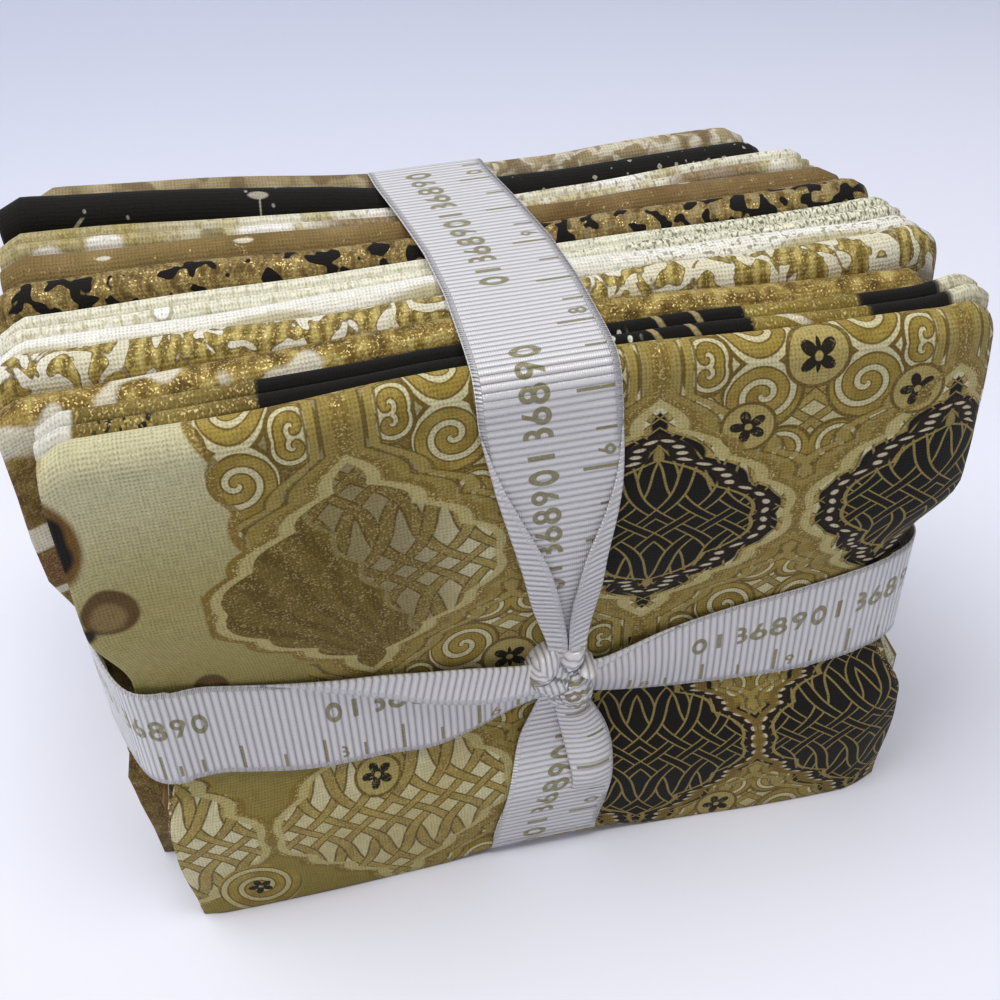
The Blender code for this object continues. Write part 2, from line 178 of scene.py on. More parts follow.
# Ribbon along the front, left to right: x, height of its middle, half its width, lift,
# flap at its upper edge, bow
FRONT_RUN = [
    (-56.0, 50.8, 11.0, 0.0, 0.0, 0.0),
    (-44.0, 47.4, 11.0, 0.0, 0.2, 0.1),
    (-35.0, 45.7, 10.4, 0.1, 1.6, 0.2),
    (-27.0, 44.8, 9.8, 0.2, 3.6, 0.4),
    (-19.0, 43.5, 9.3, 0.5, 5.4, 0.7),
    (-10.5, 44.3, 7.2, 0.9, 6.2, 0.9),
    (-4.0, 45.8, 5.0, 1.4, 5.6, 0.9),
    (2.0, 46.4, 3.8, 1.6, 4.0, 0.8),
    (8.0, 45.6, 3.4, 1.4, 1.8, 1.0),
    (12.6, 44.6, 3.9, 1.1, 0.9, 1.3),
    (18.0, 44.7, 5.3, 0.8, 0.5, 1.4),
    (23.7, 45.3, 6.8, 0.5, 0.2, 1.2),
    (30.0, 46.1, 8.0, 0.3, 0.0, 0.9),
    (38.0, 47.1, 9.2, 0.1, 0.0, 0.5),
    (50.0, 48.6, 10.5, 0.1, 0.0, 0.2),
    (61.0, 51.0, 11.0, 0.2, 0.0, 0.0),
]

# Ribbon down the front, bottom to top: height, x of its middle, half its width, lift, left flap, right flap,
# then the pleat below the knot: place of its seam and how far it overlaps
DOWN_RUN = [
    (4.0, 0.8, 10.4, 0.0, 0.0, 0.0, 3.0, 0.0),
    (9.0, 1.5, 10.4, 0.0, 0.0, 0.0, 3.0, 0.0),
    (16.0, 3.0, 10.3, 0.1, 0.0, 0.0, 3.0, 0.2),
    (22.0, 4.1, 10.0, 0.3, 0.0, 0.0, 2.4, 1.0),
    (28.0, 4.9, 9.3, 0.5, 0.0, 0.0, 0.8, 1.8),
    (33.0, 5.0, 8.0, 0.8, 0.0, 0.0, 0.0, 2.6),
    (38.0, 4.9, 5.9, 1.1, 0.0, 0.0, -0.8, 2.6),
    (42.0, 4.8, 4.3, 1.4, 1.0, 1.0, -1.0, 2.0),
    (46.0, 4.9, 3.2, 1.5, 2.0, 2.0, -1.0, 2.0),
    (50.0, 5.5, 2.7, 1.6, 2.7, 2.6, 0.0, 0.0),
    (55.0, 5.9, 3.1, 1.1, 3.0, 3.0, 0.0, 0.0),
    (60.0, 5.6, 4.2, 0.7, 3.9, 3.7, 0.0, 0.0),
    (67.0, 5.1, 5.5, 0.3, 4.4, 4.2, 0.0, 0.0),
    (76.0, 4.6, 6.8, 0.2, 4.0, 3.5, 0.0, 0.0),
    (85.0, 4.3, 8.6, 0.0, 2.4, 1.9, 0.0, 0.0),
    (94.0, 3.8, 10.1, 0.0, 0.8, 0.6, 0.0, 0.0),
    (103.0, 2.9, 11.0, 0.0, 0.0, 0.0, 0.0, 0.0),
]

# Lobes of the knot: x and z of the middle, half length, half width, lean in degrees, height
KNOT_LOBES = [
    (1.5, 50.2, 4.3, 2.3, 60.0, 4.3),
    (3.0, 46.5, 5.0, 2.5, -14.0, 4.3),
    (7.1, 43.9, 5.6, 3.5, -82.0, 4.7),
    (6.6, 51.4, 3.2, 2.1, 64.0, 3.9),
    (9.0, 48.8, 2.0, 0.9, -14.0, 5.2),
    (4.8, 46.6, 5.6, 5.2, -30.0, 3.5),
    (5.4, 41.0, 3.4, 2.8, -40.0, 3.0),
]
KNOT_MIDDLE = (4.6, 46.8)

# Ribbon over the top, front to back: y, x of its middle
TOP_RUN = [(-32.0, 3.0), (-15.0, 3.6), (0.0, 3.2), (15.0, 1.6), (30.0, -0.4)]

# Ribbon's bend at the top edges: radius, and the angles at which it has a row
TOP_BEND = 3.6
BEND_DEGREES = (8.0, 30.0, 52.0, 72.0)

# Ribbon along the back, right to left: x, lift
BACK_RUN = [(48.0, 0.0), (30.0, 0.3), (15.0, 1.4), (-10.0, 1.4), (-26.0, 0.3), (-46.0, 0.0)]

# Where the ribbon isn't narrowed: half width, two flaps, face, seam, overlap, share of the pleat
FLAT_TOP = (FULL_HALF, 0.0, 0.0, 1.0, 3.0, 0.0, 0.0)
FLAT_BACK = (FULL_HALF, 0.0, 0.0, 2.0, 3.0, 0.0, 0.0)

# Camera, in metres and radians
CAMERA_AT = Vector((-0.0368, -0.18429, 0.2051))
CAMERA_YAW = 0.218
CAMERA_PITCH = 0.671
CAMERA_ROLL = -0.038
CAMERA_LENS = 43.2

# Lights: name, place, size in metres, power in watts, colour
LIGHT_TARGET = Vector((0.0, 0.0, 0.05))
LIGHTS = [
    ("softbox_above", (-0.62, 0.06, 1.70), 1.2, 20.0, (0.98, 0.985, 1.0)),
    ("lamp_above", (0.17, -0.25, 1.22), 0.40, 4.2, (1.0, 0.99, 0.98)),
    ("softbox_left", (-1.60, -0.90, 1.00), 1.0, 2.0, (1.0, 0.89, 0.72)),
]
WORLD_COLOUR = (0.95, 0.95, 0.99, 1.0)
WORLD_STRENGTH = 0.27

# Studio paper, in metres: front edge, start of the bend, its radius, top of the wall, half width
PAPER_FRONT = -1.2
PAPER_BEND_AT = 0.80
PAPER_BEND = 0.35
PAPER_TOP = 1.6
PAPER_HALF = 1.6


# Numbers and curves


def mix(first, last, share):
    return first + (last - first) * share


def ease(share):
    share = np.clip(share, 0.0, 1.0)
    return share * share * (3.0 - 2.0 * share)


def bump(value, middle, reach):
    return np.exp(-(((value - middle) / reach) ** 2))


def waves(a, b, seed):
    """A smooth uneven value from about -1 to 1 over two lengths in millimetres."""
    first = np.sin(a / 11.3 + 1.7 * seed) * np.cos(b / 15.1 - 0.9 * seed)
    second = np.sin(a / 6.1 - b / 9.7 + 2.3 * seed)
    third = np.sin(a / 23.0 + b / 31.0 + 4.1 * seed)
    return 0.4 * first + 0.22 * second + 0.38 * third


def spline(rows, steps):
    """Rows of numbers joined by a smooth curve through all of them."""
    rows = np.array(rows, float)
    padded = np.vstack([2 * rows[0] - rows[1], rows, 2 * rows[-1] - rows[-2]])
    found = []
    for k in range(len(rows) - 1):
        a, b, c, d = padded[k : k + 4]
        square = 2 * a - 5 * b + 4 * c - d
        cube = 3 * b - a - 3 * c + d
        for t in np.arange(steps) / steps:
            found.append(0.5 * (2 * b + (c - a) * t + square * t**2 + cube * t**3))
    found.append(rows[-1])
    return np.array(found)


def lengths_of(points):
    steps = np.linalg.norm(np.diff(points, axis=0), axis=1)
    return np.concatenate([[0.0], np.cumsum(steps)])


def resample(rows, spacing, keys=3):
    """Rows of numbers at an even spacing along the curve that their first numbers make."""
    rows = np.array(rows, float)
    lengths = lengths_of(rows[:, :keys])
    count = max(2, int(round(lengths[-1] / spacing)))
    wanted = np.linspace(0.0, lengths[-1], count + 1)
    return np.stack([np.interp(wanted, lengths, rows[:, k]) for k in range(rows.shape[1])], -1)


# Shape of the stack


def crease_height(x, z):
    total = 0.0
    for x0, z0, x1, z1, width, height in CREASES:
        along_x, along_z = x1 - x0, z1 - z0
        size = along_x**2 + along_z**2
        share = np.clip(((x - x0) * along_x + (z - z0) * along_z) / size, 0.0, 1.0)
        away = np.hypot(x - x0 - share * along_x, z - z0 - share * along_z)
        total = total + height * np.exp(-((away / width) ** 2)) * np.sin(np.pi * np.clip(share, 0.08, 0.92))
    return total


def left_share(x):
    return (x + HALF_SPAN) / (2.0 * HALF_SPAN)


def ribbon_middle(x):
    """Height of the middle of the ribbon that goes round the sides."""
    away = np.minimum(1.0, np.abs(x - RIBBON_X) / SAG_SPAN)
    return RIBBON_SIDE_Z - RIBBON_SAG * (1.0 - away**4)


def waist(x, z):
    """1 under the ribbon round the sides, fading to 0 above and below it."""
    return 1.0 - ease((np.abs(z - ribbon_middle(x)) - TROUGH_HALF) / WAIST_SLOPE)


def pinch(x, z):
    """1 under the ribbon over the top, less near the floor, fading to 0 on both sides of it."""
    beside = bump(np.maximum(0.0, np.abs(x - RIBBON_X) - TROUGH_HALF), 0.0, PINCH_REACH)
    return beside * mix(PINCH_AT_FLOOR, 1.0, ease(z / FOOT_TOP))


def belly(z):
    return sum(swell * bump(z, middle, reach) for swell, middle, reach in BELLIES)


def foot(z):
    return np.maximum(0.0, 1.0 - z / FOOT_TOP)


def front_face(x, z):
    y = mix(FRONT_AT_LEFT, FRONT_AT_RIGHT, left_share(x))
    y = y + PINCH_FRONT * pinch(x, z) + WAIST_FRONT * waist(x, z) - belly(z)
    y = y + CORNER_TURN * ease((x - TURN_START) / TURN_REACH)
    return y + FOOT_TUCK * foot(z) * (1.0 - left_share(x)) + FRONT_UNEVEN * waves(x, z, 1.0)


def back_face(x, z):
    y = mix(BACK_AT_LEFT, BACK_AT_RIGHT, left_share(x))
    y = y - PINCH_BACK * pinch(x, z) - WAIST_BACK * waist(x, z)
    return y + BACK_BELLY * belly(z) + BACK_UNEVEN * waves(x, z, 2.0)


def drawn_in_x(x, z):
    """The ends of the stack are drawn in under the ribbon and towards the floor."""
    side = np.where(x < 0, -1.0, 1.0)
    depth = np.where(x < 0, WAIST_LEFT, WAIST_RIGHT)
    narrowing = np.where(x < 0, FOOT_LEFT, FOOT_RIGHT)
    inward = depth * waist(x, z) + narrowing * foot(z)
    return x - side * inward * ease((np.abs(x) - DRAW_START) / DRAW_REACH)


def top_height(cloth, x):
    left, right, top_left, top_right = cloth[2:]
    inner_left = RIBBON_X - TROUGH_HALF
    inner_right = RIBBON_X + TROUGH_HALF
    to_left = np.clip((inner_left - x) / (inner_left - left), 0.0, 1.0) ** TOP_CURVE
    to_right = np.clip((x - inner_right) / (right - inner_right), 0.0, 1.0) ** TOP_CURVE
    top = TOP_AT_RIBBON + (top_left - TOP_AT_RIBBON) * to_left + (top_right - TOP_AT_RIBBON) * to_right
    uneven = ease((np.abs(x - RIBBON_X) - 14.0) / 12.0)
    return top + TOP_UNEVEN * uneven * waves(x, left * 7.0, right)


def floor_height(x):
    beyond = np.abs(x - RIBBON_X) - TROUGH_HALF
    return FLOOR_NOTCH * (1.0 - ease(beyond / NOTCH_REACH))


def lane(index, x, across, z):
    """Depth of a point of cloth number index: across runs from 0 at its front to 1 at its back."""
    front = front_face(x, z)
    step = (back_face(x, z) - front + PIECE_GAP) / len(CLOTHS)
    share = (index + across) / len(CLOTHS)
    free = ease((np.abs(x - RIBBON_X) - 12.0) / 14.0)
    wander = LANE_UNEVEN * waves(x, z * 0.3, 3.0) * share * (1.0 - share) * free
    return front + step * index + (step - PIECE_GAP) * across + wander + SHIFT_Y


# Folded sheets


def fold_path(fold, walls):
    """Along the cut: place across the piece, share of the height, height above that, and length so far.
    walls gives how many steps each of the four layers has."""
    order, arches = FOLDS[fold]
    rows = []
    length = 0.0
    for k, layer in enumerate(order):
        low = RAW_EDGE_UP if k in (0, 3) else FOOT_LIFT + FOOT_RADIUS
        steps = walls[layer]
        for n in range(steps + 1):
            share = n / steps if k % 2 == 0 else 1.0 - n / steps
            rows.append((LAYER_MIDDLES[layer], share, low * (1.0 - share), length + n / steps * WALL_LENGTH))
        length += WALL_LENGTH
        if k == 3:
            break
        start, end = LAYER_MIDDLES[layer], LAYER_MIDDLES[order[k + 1]]
        count, arch_length = WIDE_ARCH if abs(start - end) > 0.5 else NARROW_ARCH
        for n in range(1, count):
            angle = math.pi * n / count
            across = mix(start, end, 0.5 - 0.5 * math.cos(angle))
            above = arches[k // 2] * math.sin(angle)
            if k % 2 == 1:
                above = FOOT_LIFT + FOOT_RADIUS * (1.0 - math.sin(angle))
            rows.append((across, float(k % 2 == 0), above, length + arch_length * n / count))
        length += arch_length
    return np.array(rows)


def ply_columns(cloth, count, hidden):
    """Along the other side of the cut: x, reach past the fold, offset of the ply, and length so far."""
    left, right = cloth[2] + END_MARGIN, cloth[3] - END_MARGIN
    seed = abs(cloth[2] * 3.7 + cloth[4])
    slack = [PLY_SLACK * (math.sin(seed * (k + 1)) + 1.0) for k in range(5)]
    ends = [right - slack[0], left + slack[1] * 0.4, right - slack[2], left + slack[3]]
    ends.append(right - slack[4] * 1.4)
    radius = PLY_PITCH / 2
    rows = []
    length = ends[0]
    for ply, (start, end) in enumerate(zip(ends, ends[1:])):
        offset = (1.5 - ply) * PLY_PITCH
        steps = count if ply == 0 else hidden
        shares = np.arange(steps + 1) / steps
        for share in shares * 0.8 + 0.2 * ease(shares):
            x = mix(start, end, share)
            rows.append((x, 0.0, offset, length - abs(x - start)))
        length -= abs(end - start)
        if ply == 3:
            break
        side = -1.0 if end < start else 1.0
        for n in (1, 2, 3):
            angle = math.pi * n / 4
            reach, lower = side * radius * math.sin(angle), radius * (1 - math.cos(angle))
            rows.append((end, reach, offset - lower, length - 0.2 * n))
        length -= 0.8
    return np.array(rows)


def grid_faces(rows, columns):
    corner = np.arange(rows * columns).reshape(rows, columns)
    quads = np.stack([corner[:-1, :-1], corner[:-1, 1:], corner[1:, 1:], corner[1:, :-1]], -1)
    return quads.reshape(-1, 4)


def add_map(mesh, name, corners):
    """A UV map from one place per corner of the faces."""
    layer = mesh.uv_layers.new(name=name)
    layer.uv.foreach_set("vector", corners.astype(np.float32).ravel())


def mesh_object(name, points, faces, maps):
    """A smooth mesh of quads from points in millimetres, with UV maps given per point."""
    mesh = bpy.data.meshes.new(name)
    mesh.from_pydata((points * MM).tolist(), [], faces.tolist())
    mesh.polygons.foreach_set("use_smooth", np.ones(len(faces), bool))
    for map_name, values in maps.items():
        add_map(mesh, map_name, values[faces.reshape(-1)])
    mesh.update()
    thing = bpy.data.objects.new(name, mesh)
    bpy.context.scene.collection.objects.link(thing)
    return thing


def thicken(thing, thickness, material):
    thing.data.materials.append(material)
    modifier = thing.modifiers.new("thickness", "SOLIDIFY")
    modifier.thickness = thickness * MM
    modifier.offset = 0.0
    return thing


def bake_places(lengths, heavy):
    """Places from 0 to 1 along a length, with more room for the stretches that show."""
    steps = np.diff(lengths)
    middles = (lengths[1:] + lengths[:-1]) / 2
    weights = np.ones(len(steps))
    for low, high, weight in heavy:
        weights[(middles > low) & (middles < high)] = weight
    places = np.concatenate([[0.0], np.cumsum(np.abs(steps) * weights)])
    return places / places[-1]


def shown_stretches(front, back, fold):
    """The stretches along the cut that show, each with its weight in the baked picture."""
    if front:
        return [(-1.0, 120.0, 6.0)]
    if back:
        return [(100.0, 226.0, 4.0)]
    return [(100.0, 124.0, 14.0), (324.0, 344.0, 12.0 if fold == "zigzag" else 1.0)]


def folded_sheet(index, cloth, material):
    """One fat quarter: a single sheet in sixteen plies on the solid's folds."""
    name, fold, left, right = cloth[:4]
    front, back = index == 0, index == len(CLOTHS) - 1
    path = fold_path(fold, [58 if front else 12, 10, 10, 36 if back else 12])
    columns = ply_columns(cloth, 112 if front else 64, 14)
    x, reach, offset, wide = (columns[:, k][:, None] for k in range(4))
    across, share, above, length = (path[:, k][None, :] for k in range(4))
    from_end = np.minimum(x - left, right - x)
    ending = 1.0 - ease(from_end / 5.0)
    thin = 1.0 - 0.20 * ending
    low = floor_height(x)
    shoulder = top_height(cloth, x) - SHOULDER - END_DROP * ending
    z = low + (shoulder - low) * share + above
    ragged = 0.55 * waves(length * 1.7, offset * 40.0, index + 5.0) * (1.0 - ease(from_end / 14.0))
    x_uneven = x + ragged * np.where(x < 0, -1.0, 1.0)
    y = lane(index, x_uneven, 0.5 + (across - 0.5) * thin, z)
    along_y, along_z = np.gradient(y, axis=1), np.gradient(z, axis=1)
    size = np.hypot(along_y, along_z)
    spread = offset * mix(0.86, 1.0, thin) + 0.05 * waves(x * 1.9, length * 1.3, index + 9.0)
    y = y - along_z / size * spread
    z = z + along_y / size * spread
    if front:
        outer = (length < WALL_LENGTH + 2.0) * ease((WALL_LENGTH + 2.0 - length) / 12.0)
        y = y - crease_height(x, z) * outer * (1.0 - waist(x, z) * 0.9)
    z = np.maximum(z, 0.12)
    points = np.stack([drawn_in_x(x_uneven, z) + reach, y, z], -1).reshape(-1, 3)
    across_map = bake_places(-columns[:, 3], [(-right - 1.0, -left + 2.0, 9.0)])
    along_map = bake_places(path[:, 3], shown_stretches(front, back, fold))
    bake = np.stack(np.broadcast_arrays(across_map[:, None], along_map[None, :]), -1)
    maps = {
        "Print": np.stack(np.broadcast_arrays(wide, length), -1).reshape(-1, 2),
        "OFBake": 0.004 + 0.992 * bake.reshape(-1, 2),
    }
    return thicken(mesh_object(name + "_sheet", points, grid_faces(*z.shape), maps), CLOTH_THICK, material)


# Materials: numbers and colours that vary over a surface


def srgb(text):
    """A colour written as on a screen, such as "c8b58a", as linear red, green, blue and alpha."""
    values = [int(text[k : k + 2], 16) / 255.0 for k in (0, 2, 4)]
    linear = [v / 12.92 if v <= 0.04045 else ((v + 0.055) / 1.055) ** 2.4 for v in values]
    return (*linear, 1.0)


def put(tree, slot, value):
    """Puts a field, a socket, a written colour or a number into a node's slot."""
    if isinstance(value, Field):
        value = value.socket
    if isinstance(value, bpy.types.NodeSocket):
        tree.links.new(value, slot)
    else:
        slot.default_value = srgb(value) if isinstance(value, str) else value


def add_node(tree, kind, values, **settings):
    """A node with its settings, and with values in its slots, which go by number or by name."""
    node = tree.nodes.new("ShaderNode" + kind)
    for setting, value in settings.items():
        setattr(node, setting, value)
    for key, value in values.items():
        put(tree, node.inputs[key], value)
    return node


class Field:
    """A number that varies over a surface. Arithmetic on it adds math nodes to its material."""

    def __init__(self, tree, socket):
        self.tree = tree
        self.socket = socket

    def calc(self, operation, *others):
        node = add_node(self.tree, "Math", dict(enumerate((self, *others))), operation=operation)
        return Field(self.tree, node.outputs[0])

    def __add__(self, other):
        return self.calc("ADD", other)

    def __sub__(self, other):
        return self.calc("SUBTRACT", other)

    def __mul__(self, other):
        return self.calc("MULTIPLY", other)

    def __truediv__(self, other):
        return self.calc("DIVIDE", other)

    def __neg__(self):
        return self * -1.0

    __radd__ = __add__
    __rmul__ = __mul__

    def __rsub__(self, other):
        return -self + other

    def size(self):
        return self.calc("ABSOLUTE")

    def sine(self):
        return self.calc("SINE")

    def angle(self, other):
        """The angle of the point whose height is this and whose reach is other."""
        return self.calc("ARCTAN2", other)

    def floor(self):
        return self.calc("FLOOR")

    def least(self, other):
        return self.calc("MINIMUM", other)

    def most(self, other):
        return self.calc("MAXIMUM", other)

    def repeat(self, length):
        return self.calc("FLOORED_MODULO", length)

    def swing(self, length):
        return self.calc("PINGPONG", length)

    def above(self, edge, soft):
        """1 where this is above edge, 0 where it is below, with a soft change between."""
        ends = {"Value": self, "From Min": edge - soft, "From Max": edge + soft}
        node = add_node(self.tree, "MapRange", ends, interpolation_type="SMOOTHSTEP")
        return Field(self.tree, node.outputs["Result"])

    def below(self, edge, soft):
        return 1.0 - self.above(edge, soft)

    def near(self, middle, half, soft):
        """1 where this is within half of middle, with a soft change at both ends."""
        return (self - middle).size().below(half, soft)

    def within(self, low, high, soft):
        return self.above(low, soft) * self.below(high, soft)


def distance(a, b):
    return (a * a + b * b).calc("SQRT")


class Surface:
    """A material under construction, with the print's own lengths in millimetres as u and v."""

    def __init__(self, name):
        self.material = bpy.data.materials.new(name)
        self.material.use_nodes = True
        self.tree = self.material.node_tree
        self.place = self.node("UVMap", {}, uv_map="Print").outputs["UV"]
        self.u, self.v, _ = self.split(self.place)
        self.colour = None

    def node(self, kind, values, **settings):
        return add_node(self.tree, kind, values, **settings)

    def split(self, socket):
        return [Field(self.tree, part) for part in self.node("SeparateXYZ", {0: socket}).outputs]

    def vector(self, x, y, z=0.0):
        return self.node("CombineXYZ", {0: x, 1: y, 2: z}).outputs[0]

    def noise(self, length, detail=2.0, place=None, twist=0.0):
        """Smooth noise from 0 to 1 whose features are about length across."""
        values = {"Vector": place or self.place, "Scale": 1.0 / length, "Detail": detail, "Distortion": twist}
        return Field(self.tree, self.node("TexNoise", values).outputs["Fac"])

    def cells(self, length, feature="F1", loose=1.0, place=None):
        """Cells about length across: distance in the cell, and the cell's own random number."""
        values = {"Vector": place or self.place, "Scale": 1.0 / length, "Randomness": loose}
        node = self.node("TexVoronoi", values, feature=feature, voronoi_dimensions="2D")
        away = Field(self.tree, node.outputs["Distance"])
        return away if feature != "F1" else (away, self.split(node.outputs["Color"])[0])

    def blend(self, share, first, second):
        """The second colour laid over the first by a share from 0 to 1."""
        node = self.node("Mix", {}, data_type="RGBA")
        for slot, value in zip([s for s in node.inputs if s.enabled], (share, first, second)):
            put(self.tree, slot, value)
        return next(s for s in node.outputs if s.enabled)

    def paint(self, share, colour):
        """Lays a colour over what is painted so far."""
        self.colour = self.blend(share, self.colour, colour)

    def ramp(self, share, stops, mode="EASE"):
        """Colours along a share from 0 to 1: stops are (place, colour)."""
        node = self.node("ValToRGB", {0: share})
        node.color_ramp.interpolation = mode
        points = node.color_ramp.elements
        while len(points) < len(stops):
            points.new(1.0)
        for point, (place, colour) in zip(points, stops):
            point.position = place
            point.color = srgb(colour)
        return node.outputs[0]

    def away(self, x, y):
        """Distance from that place of the print."""
        return distance(self.u - x, self.v - y)

    def spot(self, x, y, wide, deep, soft=0.25):
        """1 inside an oval at that place of the print."""
        return distance((self.u - x) / wide, (self.v - y) / deep).below(1.0, soft)

    def shade(self, values):
        """Puts values into the shader's slots."""
        for key, value in values.items():
            put(self.tree, self.tree.nodes["Principled BSDF"].inputs[key], value)

    def raise_by(self, height, strength, millimetres):
        values = {"Height": height, "Strength": strength, "Distance": millimetres * MM}
        self.shade({"Normal": self.node("Bump", values).outputs[0]})

    def finish(self, gold):
        """Joins the print to the shader, with a plain weave, slubs, and metallic ink where gold is."""
        turn = 2.0 * math.pi / THREAD_REPEAT
        slub_u = self.noise(1.0, 0.0, self.vector(self.u * SLUB_ALONG, self.v * SLUB_ACROSS))
        slub_v = self.noise(1.0, 0.0, self.vector(self.u * SLUB_ACROSS, self.v * SLUB_ALONG, 7.0))
        warp = ((self.u + slub_u * 0.5) * turn).sine()
        weave = (warp + ((self.v + slub_v * 0.5) * turn).sine()) * 0.5
        # The tone is lighter on the thread crests and darker in the gaps between the threads: painted shade
        # of the weave's relief. The slubs vary it at random.
        gaps = (-weave - 0.30).most(0.0)
        tone = weave * 0.15 - gaps * 0.26 + (slub_u + slub_v) * 0.34 + 0.68
        base = self.node("VectorMath", {0: self.colour, "Scale": tone}, operation="SCALE").outputs[0]
        rough = CLOTH_ROUGH
        if gold is not None:
            # Glints: flakes of the metallic ink with real metal and lower roughness, and a lighter gold in
            # their colour as a painted highlight.
            own = self.cells(0.24, place=self.vector(self.u, self.v * 1.1))[1]
            glint = own.above(0.82, 0.06) * gold
            base = self.blend(glint * 0.6, base, "dcc888")
            self.shade({"Metallic": gold * 0.08 + glint * 0.45})
            rough = rough - gold * 0.22 - glint * 0.28
        self.shade({"Base Color": base, "Roughness": rough, "Specular IOR Level": 0.22})
        self.shade({"Sheen Weight": 0.05, "Sheen Roughness": 0.5})
        self.raise_by(weave * 0.7 + slub_u + slub_v, 0.7, WEAVE_DEPTH)
        return self.material


# Ornaments: x and y are lengths from the ornament's middle


def coil(s, x, y, reach, pitch, turn, half, rim, ground, gold):
    """A coiled scroll: its colours, and 1 within its reach."""
    away = distance(x, y)
    curl = (away / pitch - y.angle(x) / (2.0 * math.pi) + turn).repeat(1.0)
    line = (curl - 0.5).size() * pitch
    colours = s.blend(line.below(half, 0.12), ground, gold)
    return s.blend(line.near(half, rim, 0.09), colours, OUTLINE), away.below(reach, 0.12)


def basket(x, y, pitch, half, rim):
    """Curved bands that go over and under each other: 1 on the bands, and 1 on the lines at their edges."""
    sway = (y * (6.0 * math.pi / OGEE_TALL)).sine() * 1.9
    rise = y * (2.0 * OGEE_HALF / OGEE_TALL) + sway
    ways = [rise + x, rise - x]
    off = [(way.repeat(pitch) - pitch / 2).size() for way in ways]
    over = ((ways[0] / pitch).floor() + (ways[1] / pitch).floor()).repeat(2.0).above(0.5, 0.01)
    on = [away.below(half, 0.12) for away in off]
    edge = [away.near(half, rim, 0.10) for away in off]
    lines = (edge[0] * (1.0 - on[1] * over)).most(edge[1] * (1.0 - on[0] * (1.0 - over)))
    return on[0].most(on[1]), lines


def flower(x, y, radius):
    """1 inside a plain flower with five rounded petals and a clear eye."""
    reach = ((y.angle(x) * 2.5).sine().size() * 0.62 + 0.38) * radius
    away = distance(x, y)
    return (reach - away).above(0.0, 0.12) * away.above(radius * 0.20, 0.1)


def medallion(s, x, y, radius, rim, petals):
    """A flower on a disc with an outline."""
    away = distance(x, y)
    s.paint(away.below(radius, 0.2), DISC)
    s.paint(away.near(radius, rim, 0.12), OUTLINE)
    s.paint(flower(x, y, petals), PETAL)


def ogee(x, y):
    """A lattice of pointed ovals, from the folded places x and y: how far inside an oval with its middle
    at (0, 0) a point is, and the length along the oval's edge."""
    turn = y * (2.0 * math.pi / OGEE_TALL)
    width = (turn.calc("COSINE") * 0.5 + 0.5) * OGEE_HALF
    slope = turn.sine() * (math.pi * OGEE_HALF / OGEE_TALL)
    steep = (slope * slope + 1.0).calc("SQRT")
    return (width - x) / steep, y * 1.335 - (turn * 2.0).sine() * 1.48


# Prints, one for each cloth: u runs along the stack and v along the cut, from 0 at its free edge.
# Each one paints its surface and returns its share of metallic ink, if it has any.


def damask_ovals(s, band, lines, even, night, fine, gold, hue):
    """Basket work in the ovals, on cream or on black, with a leaf over part of it."""
    high = s.v.above(51.0, 1.0)
    ground = s.blend(hue.above(0.50, 0.14) * 0.6, "cdc69f", "b3a468")
    ground = s.blend(band * 0.9, ground, gold)
    ground = s.blend(lines * 0.9, ground, "5c4a1a")
    strokes = ((s.v - 58.0).angle(s.u + 24.0) * 34.0 + (s.v / 2.6).sine()).sine() * 0.5 + fine
    leaf = s.blend(strokes.above(0.62, 0.25), "887534", "66541f")
    lobe = s.u + (s.v - 80.0) * 0.5 + (s.v * (math.pi / 7.0)).sine().size() * 1.8 + 26.0
    leafy = s.blend(lobe.below(0.0, 0.15) * high, ground, leaf)
    leafy = s.blend(lobe.near(0.2, 0.45, 0.12) * high, leafy, PALE)
    s.colour = s.blend(even * s.u.above(-52.5, 0.2), ground, leafy)
    s.paint(s.u.below(-14.0, 9.0) * s.v.above(56.0, 5.0) * 0.66, "5c4a12")
    s.paint(night, s.blend(lines * 0.95, "14120d", "94834c"))


def damask_between(s, x, y, edge, even, night, gold):
    """Coils between the ovals, the ovals' rims, and small flowers."""
    p, q = OGEE_HALF - x, OGEE_TALL / 2 - y.size()
    outside = 1.0 - even
    for a, b, reach, pitch, turn in (
            (8.2, 5.4, 6.3, 3.1, 0.0), (4.2, 16.2, 4.6, 2.6, 0.5), (17.0, 1.2, 3.6, 2.4, 0.2)):
        colours, near = coil(s, p - a, q - b, reach, pitch, turn, pitch * 0.30, 0.15, "c6be94", gold)
        s.paint(near * outside, colours)
        s.paint(distance(p - a, q - b).near(reach, 0.32, 0.1) * outside, OUTLINE)
    for depth, wide, tint in (
            (1.3, 0.9, PALE), (0.2, 0.2, OUTLINE), (-1.2, 1.0, "93803f"), (-2.4, 0.2, OUTLINE),
            (-3.6, 0.65, "9c8a4a"), (-4.5, 0.2, OUTLINE)):
        s.paint(edge.near(depth, wide, 0.12) * (1.0 - night) * 0.9, tint)
    medallion(s, p, q, 4.9, 0.35, 3.2)
    for a, b in ((34.0, 98.0), (61.0, 101.0), (-30.0, 30.0), (37.0, 3.0)):
        medallion(s, s.u - a, s.v - b, 4.3, 0.3, 3.0)


def damask_beads(s, rim, run, night):
    """Beads on a dark band along the edges of the black ovals."""
    s.paint(rim.near(2.3, 1.35, 0.2) * night, "241a10")
    s.paint(distance(rim - 2.3, run.repeat(2.0) - 1.0).below(0.56, 0.14) * night, "c9bda0")
    s.paint(rim.near(4.4, 0.32, 0.12) * night, "94824a")


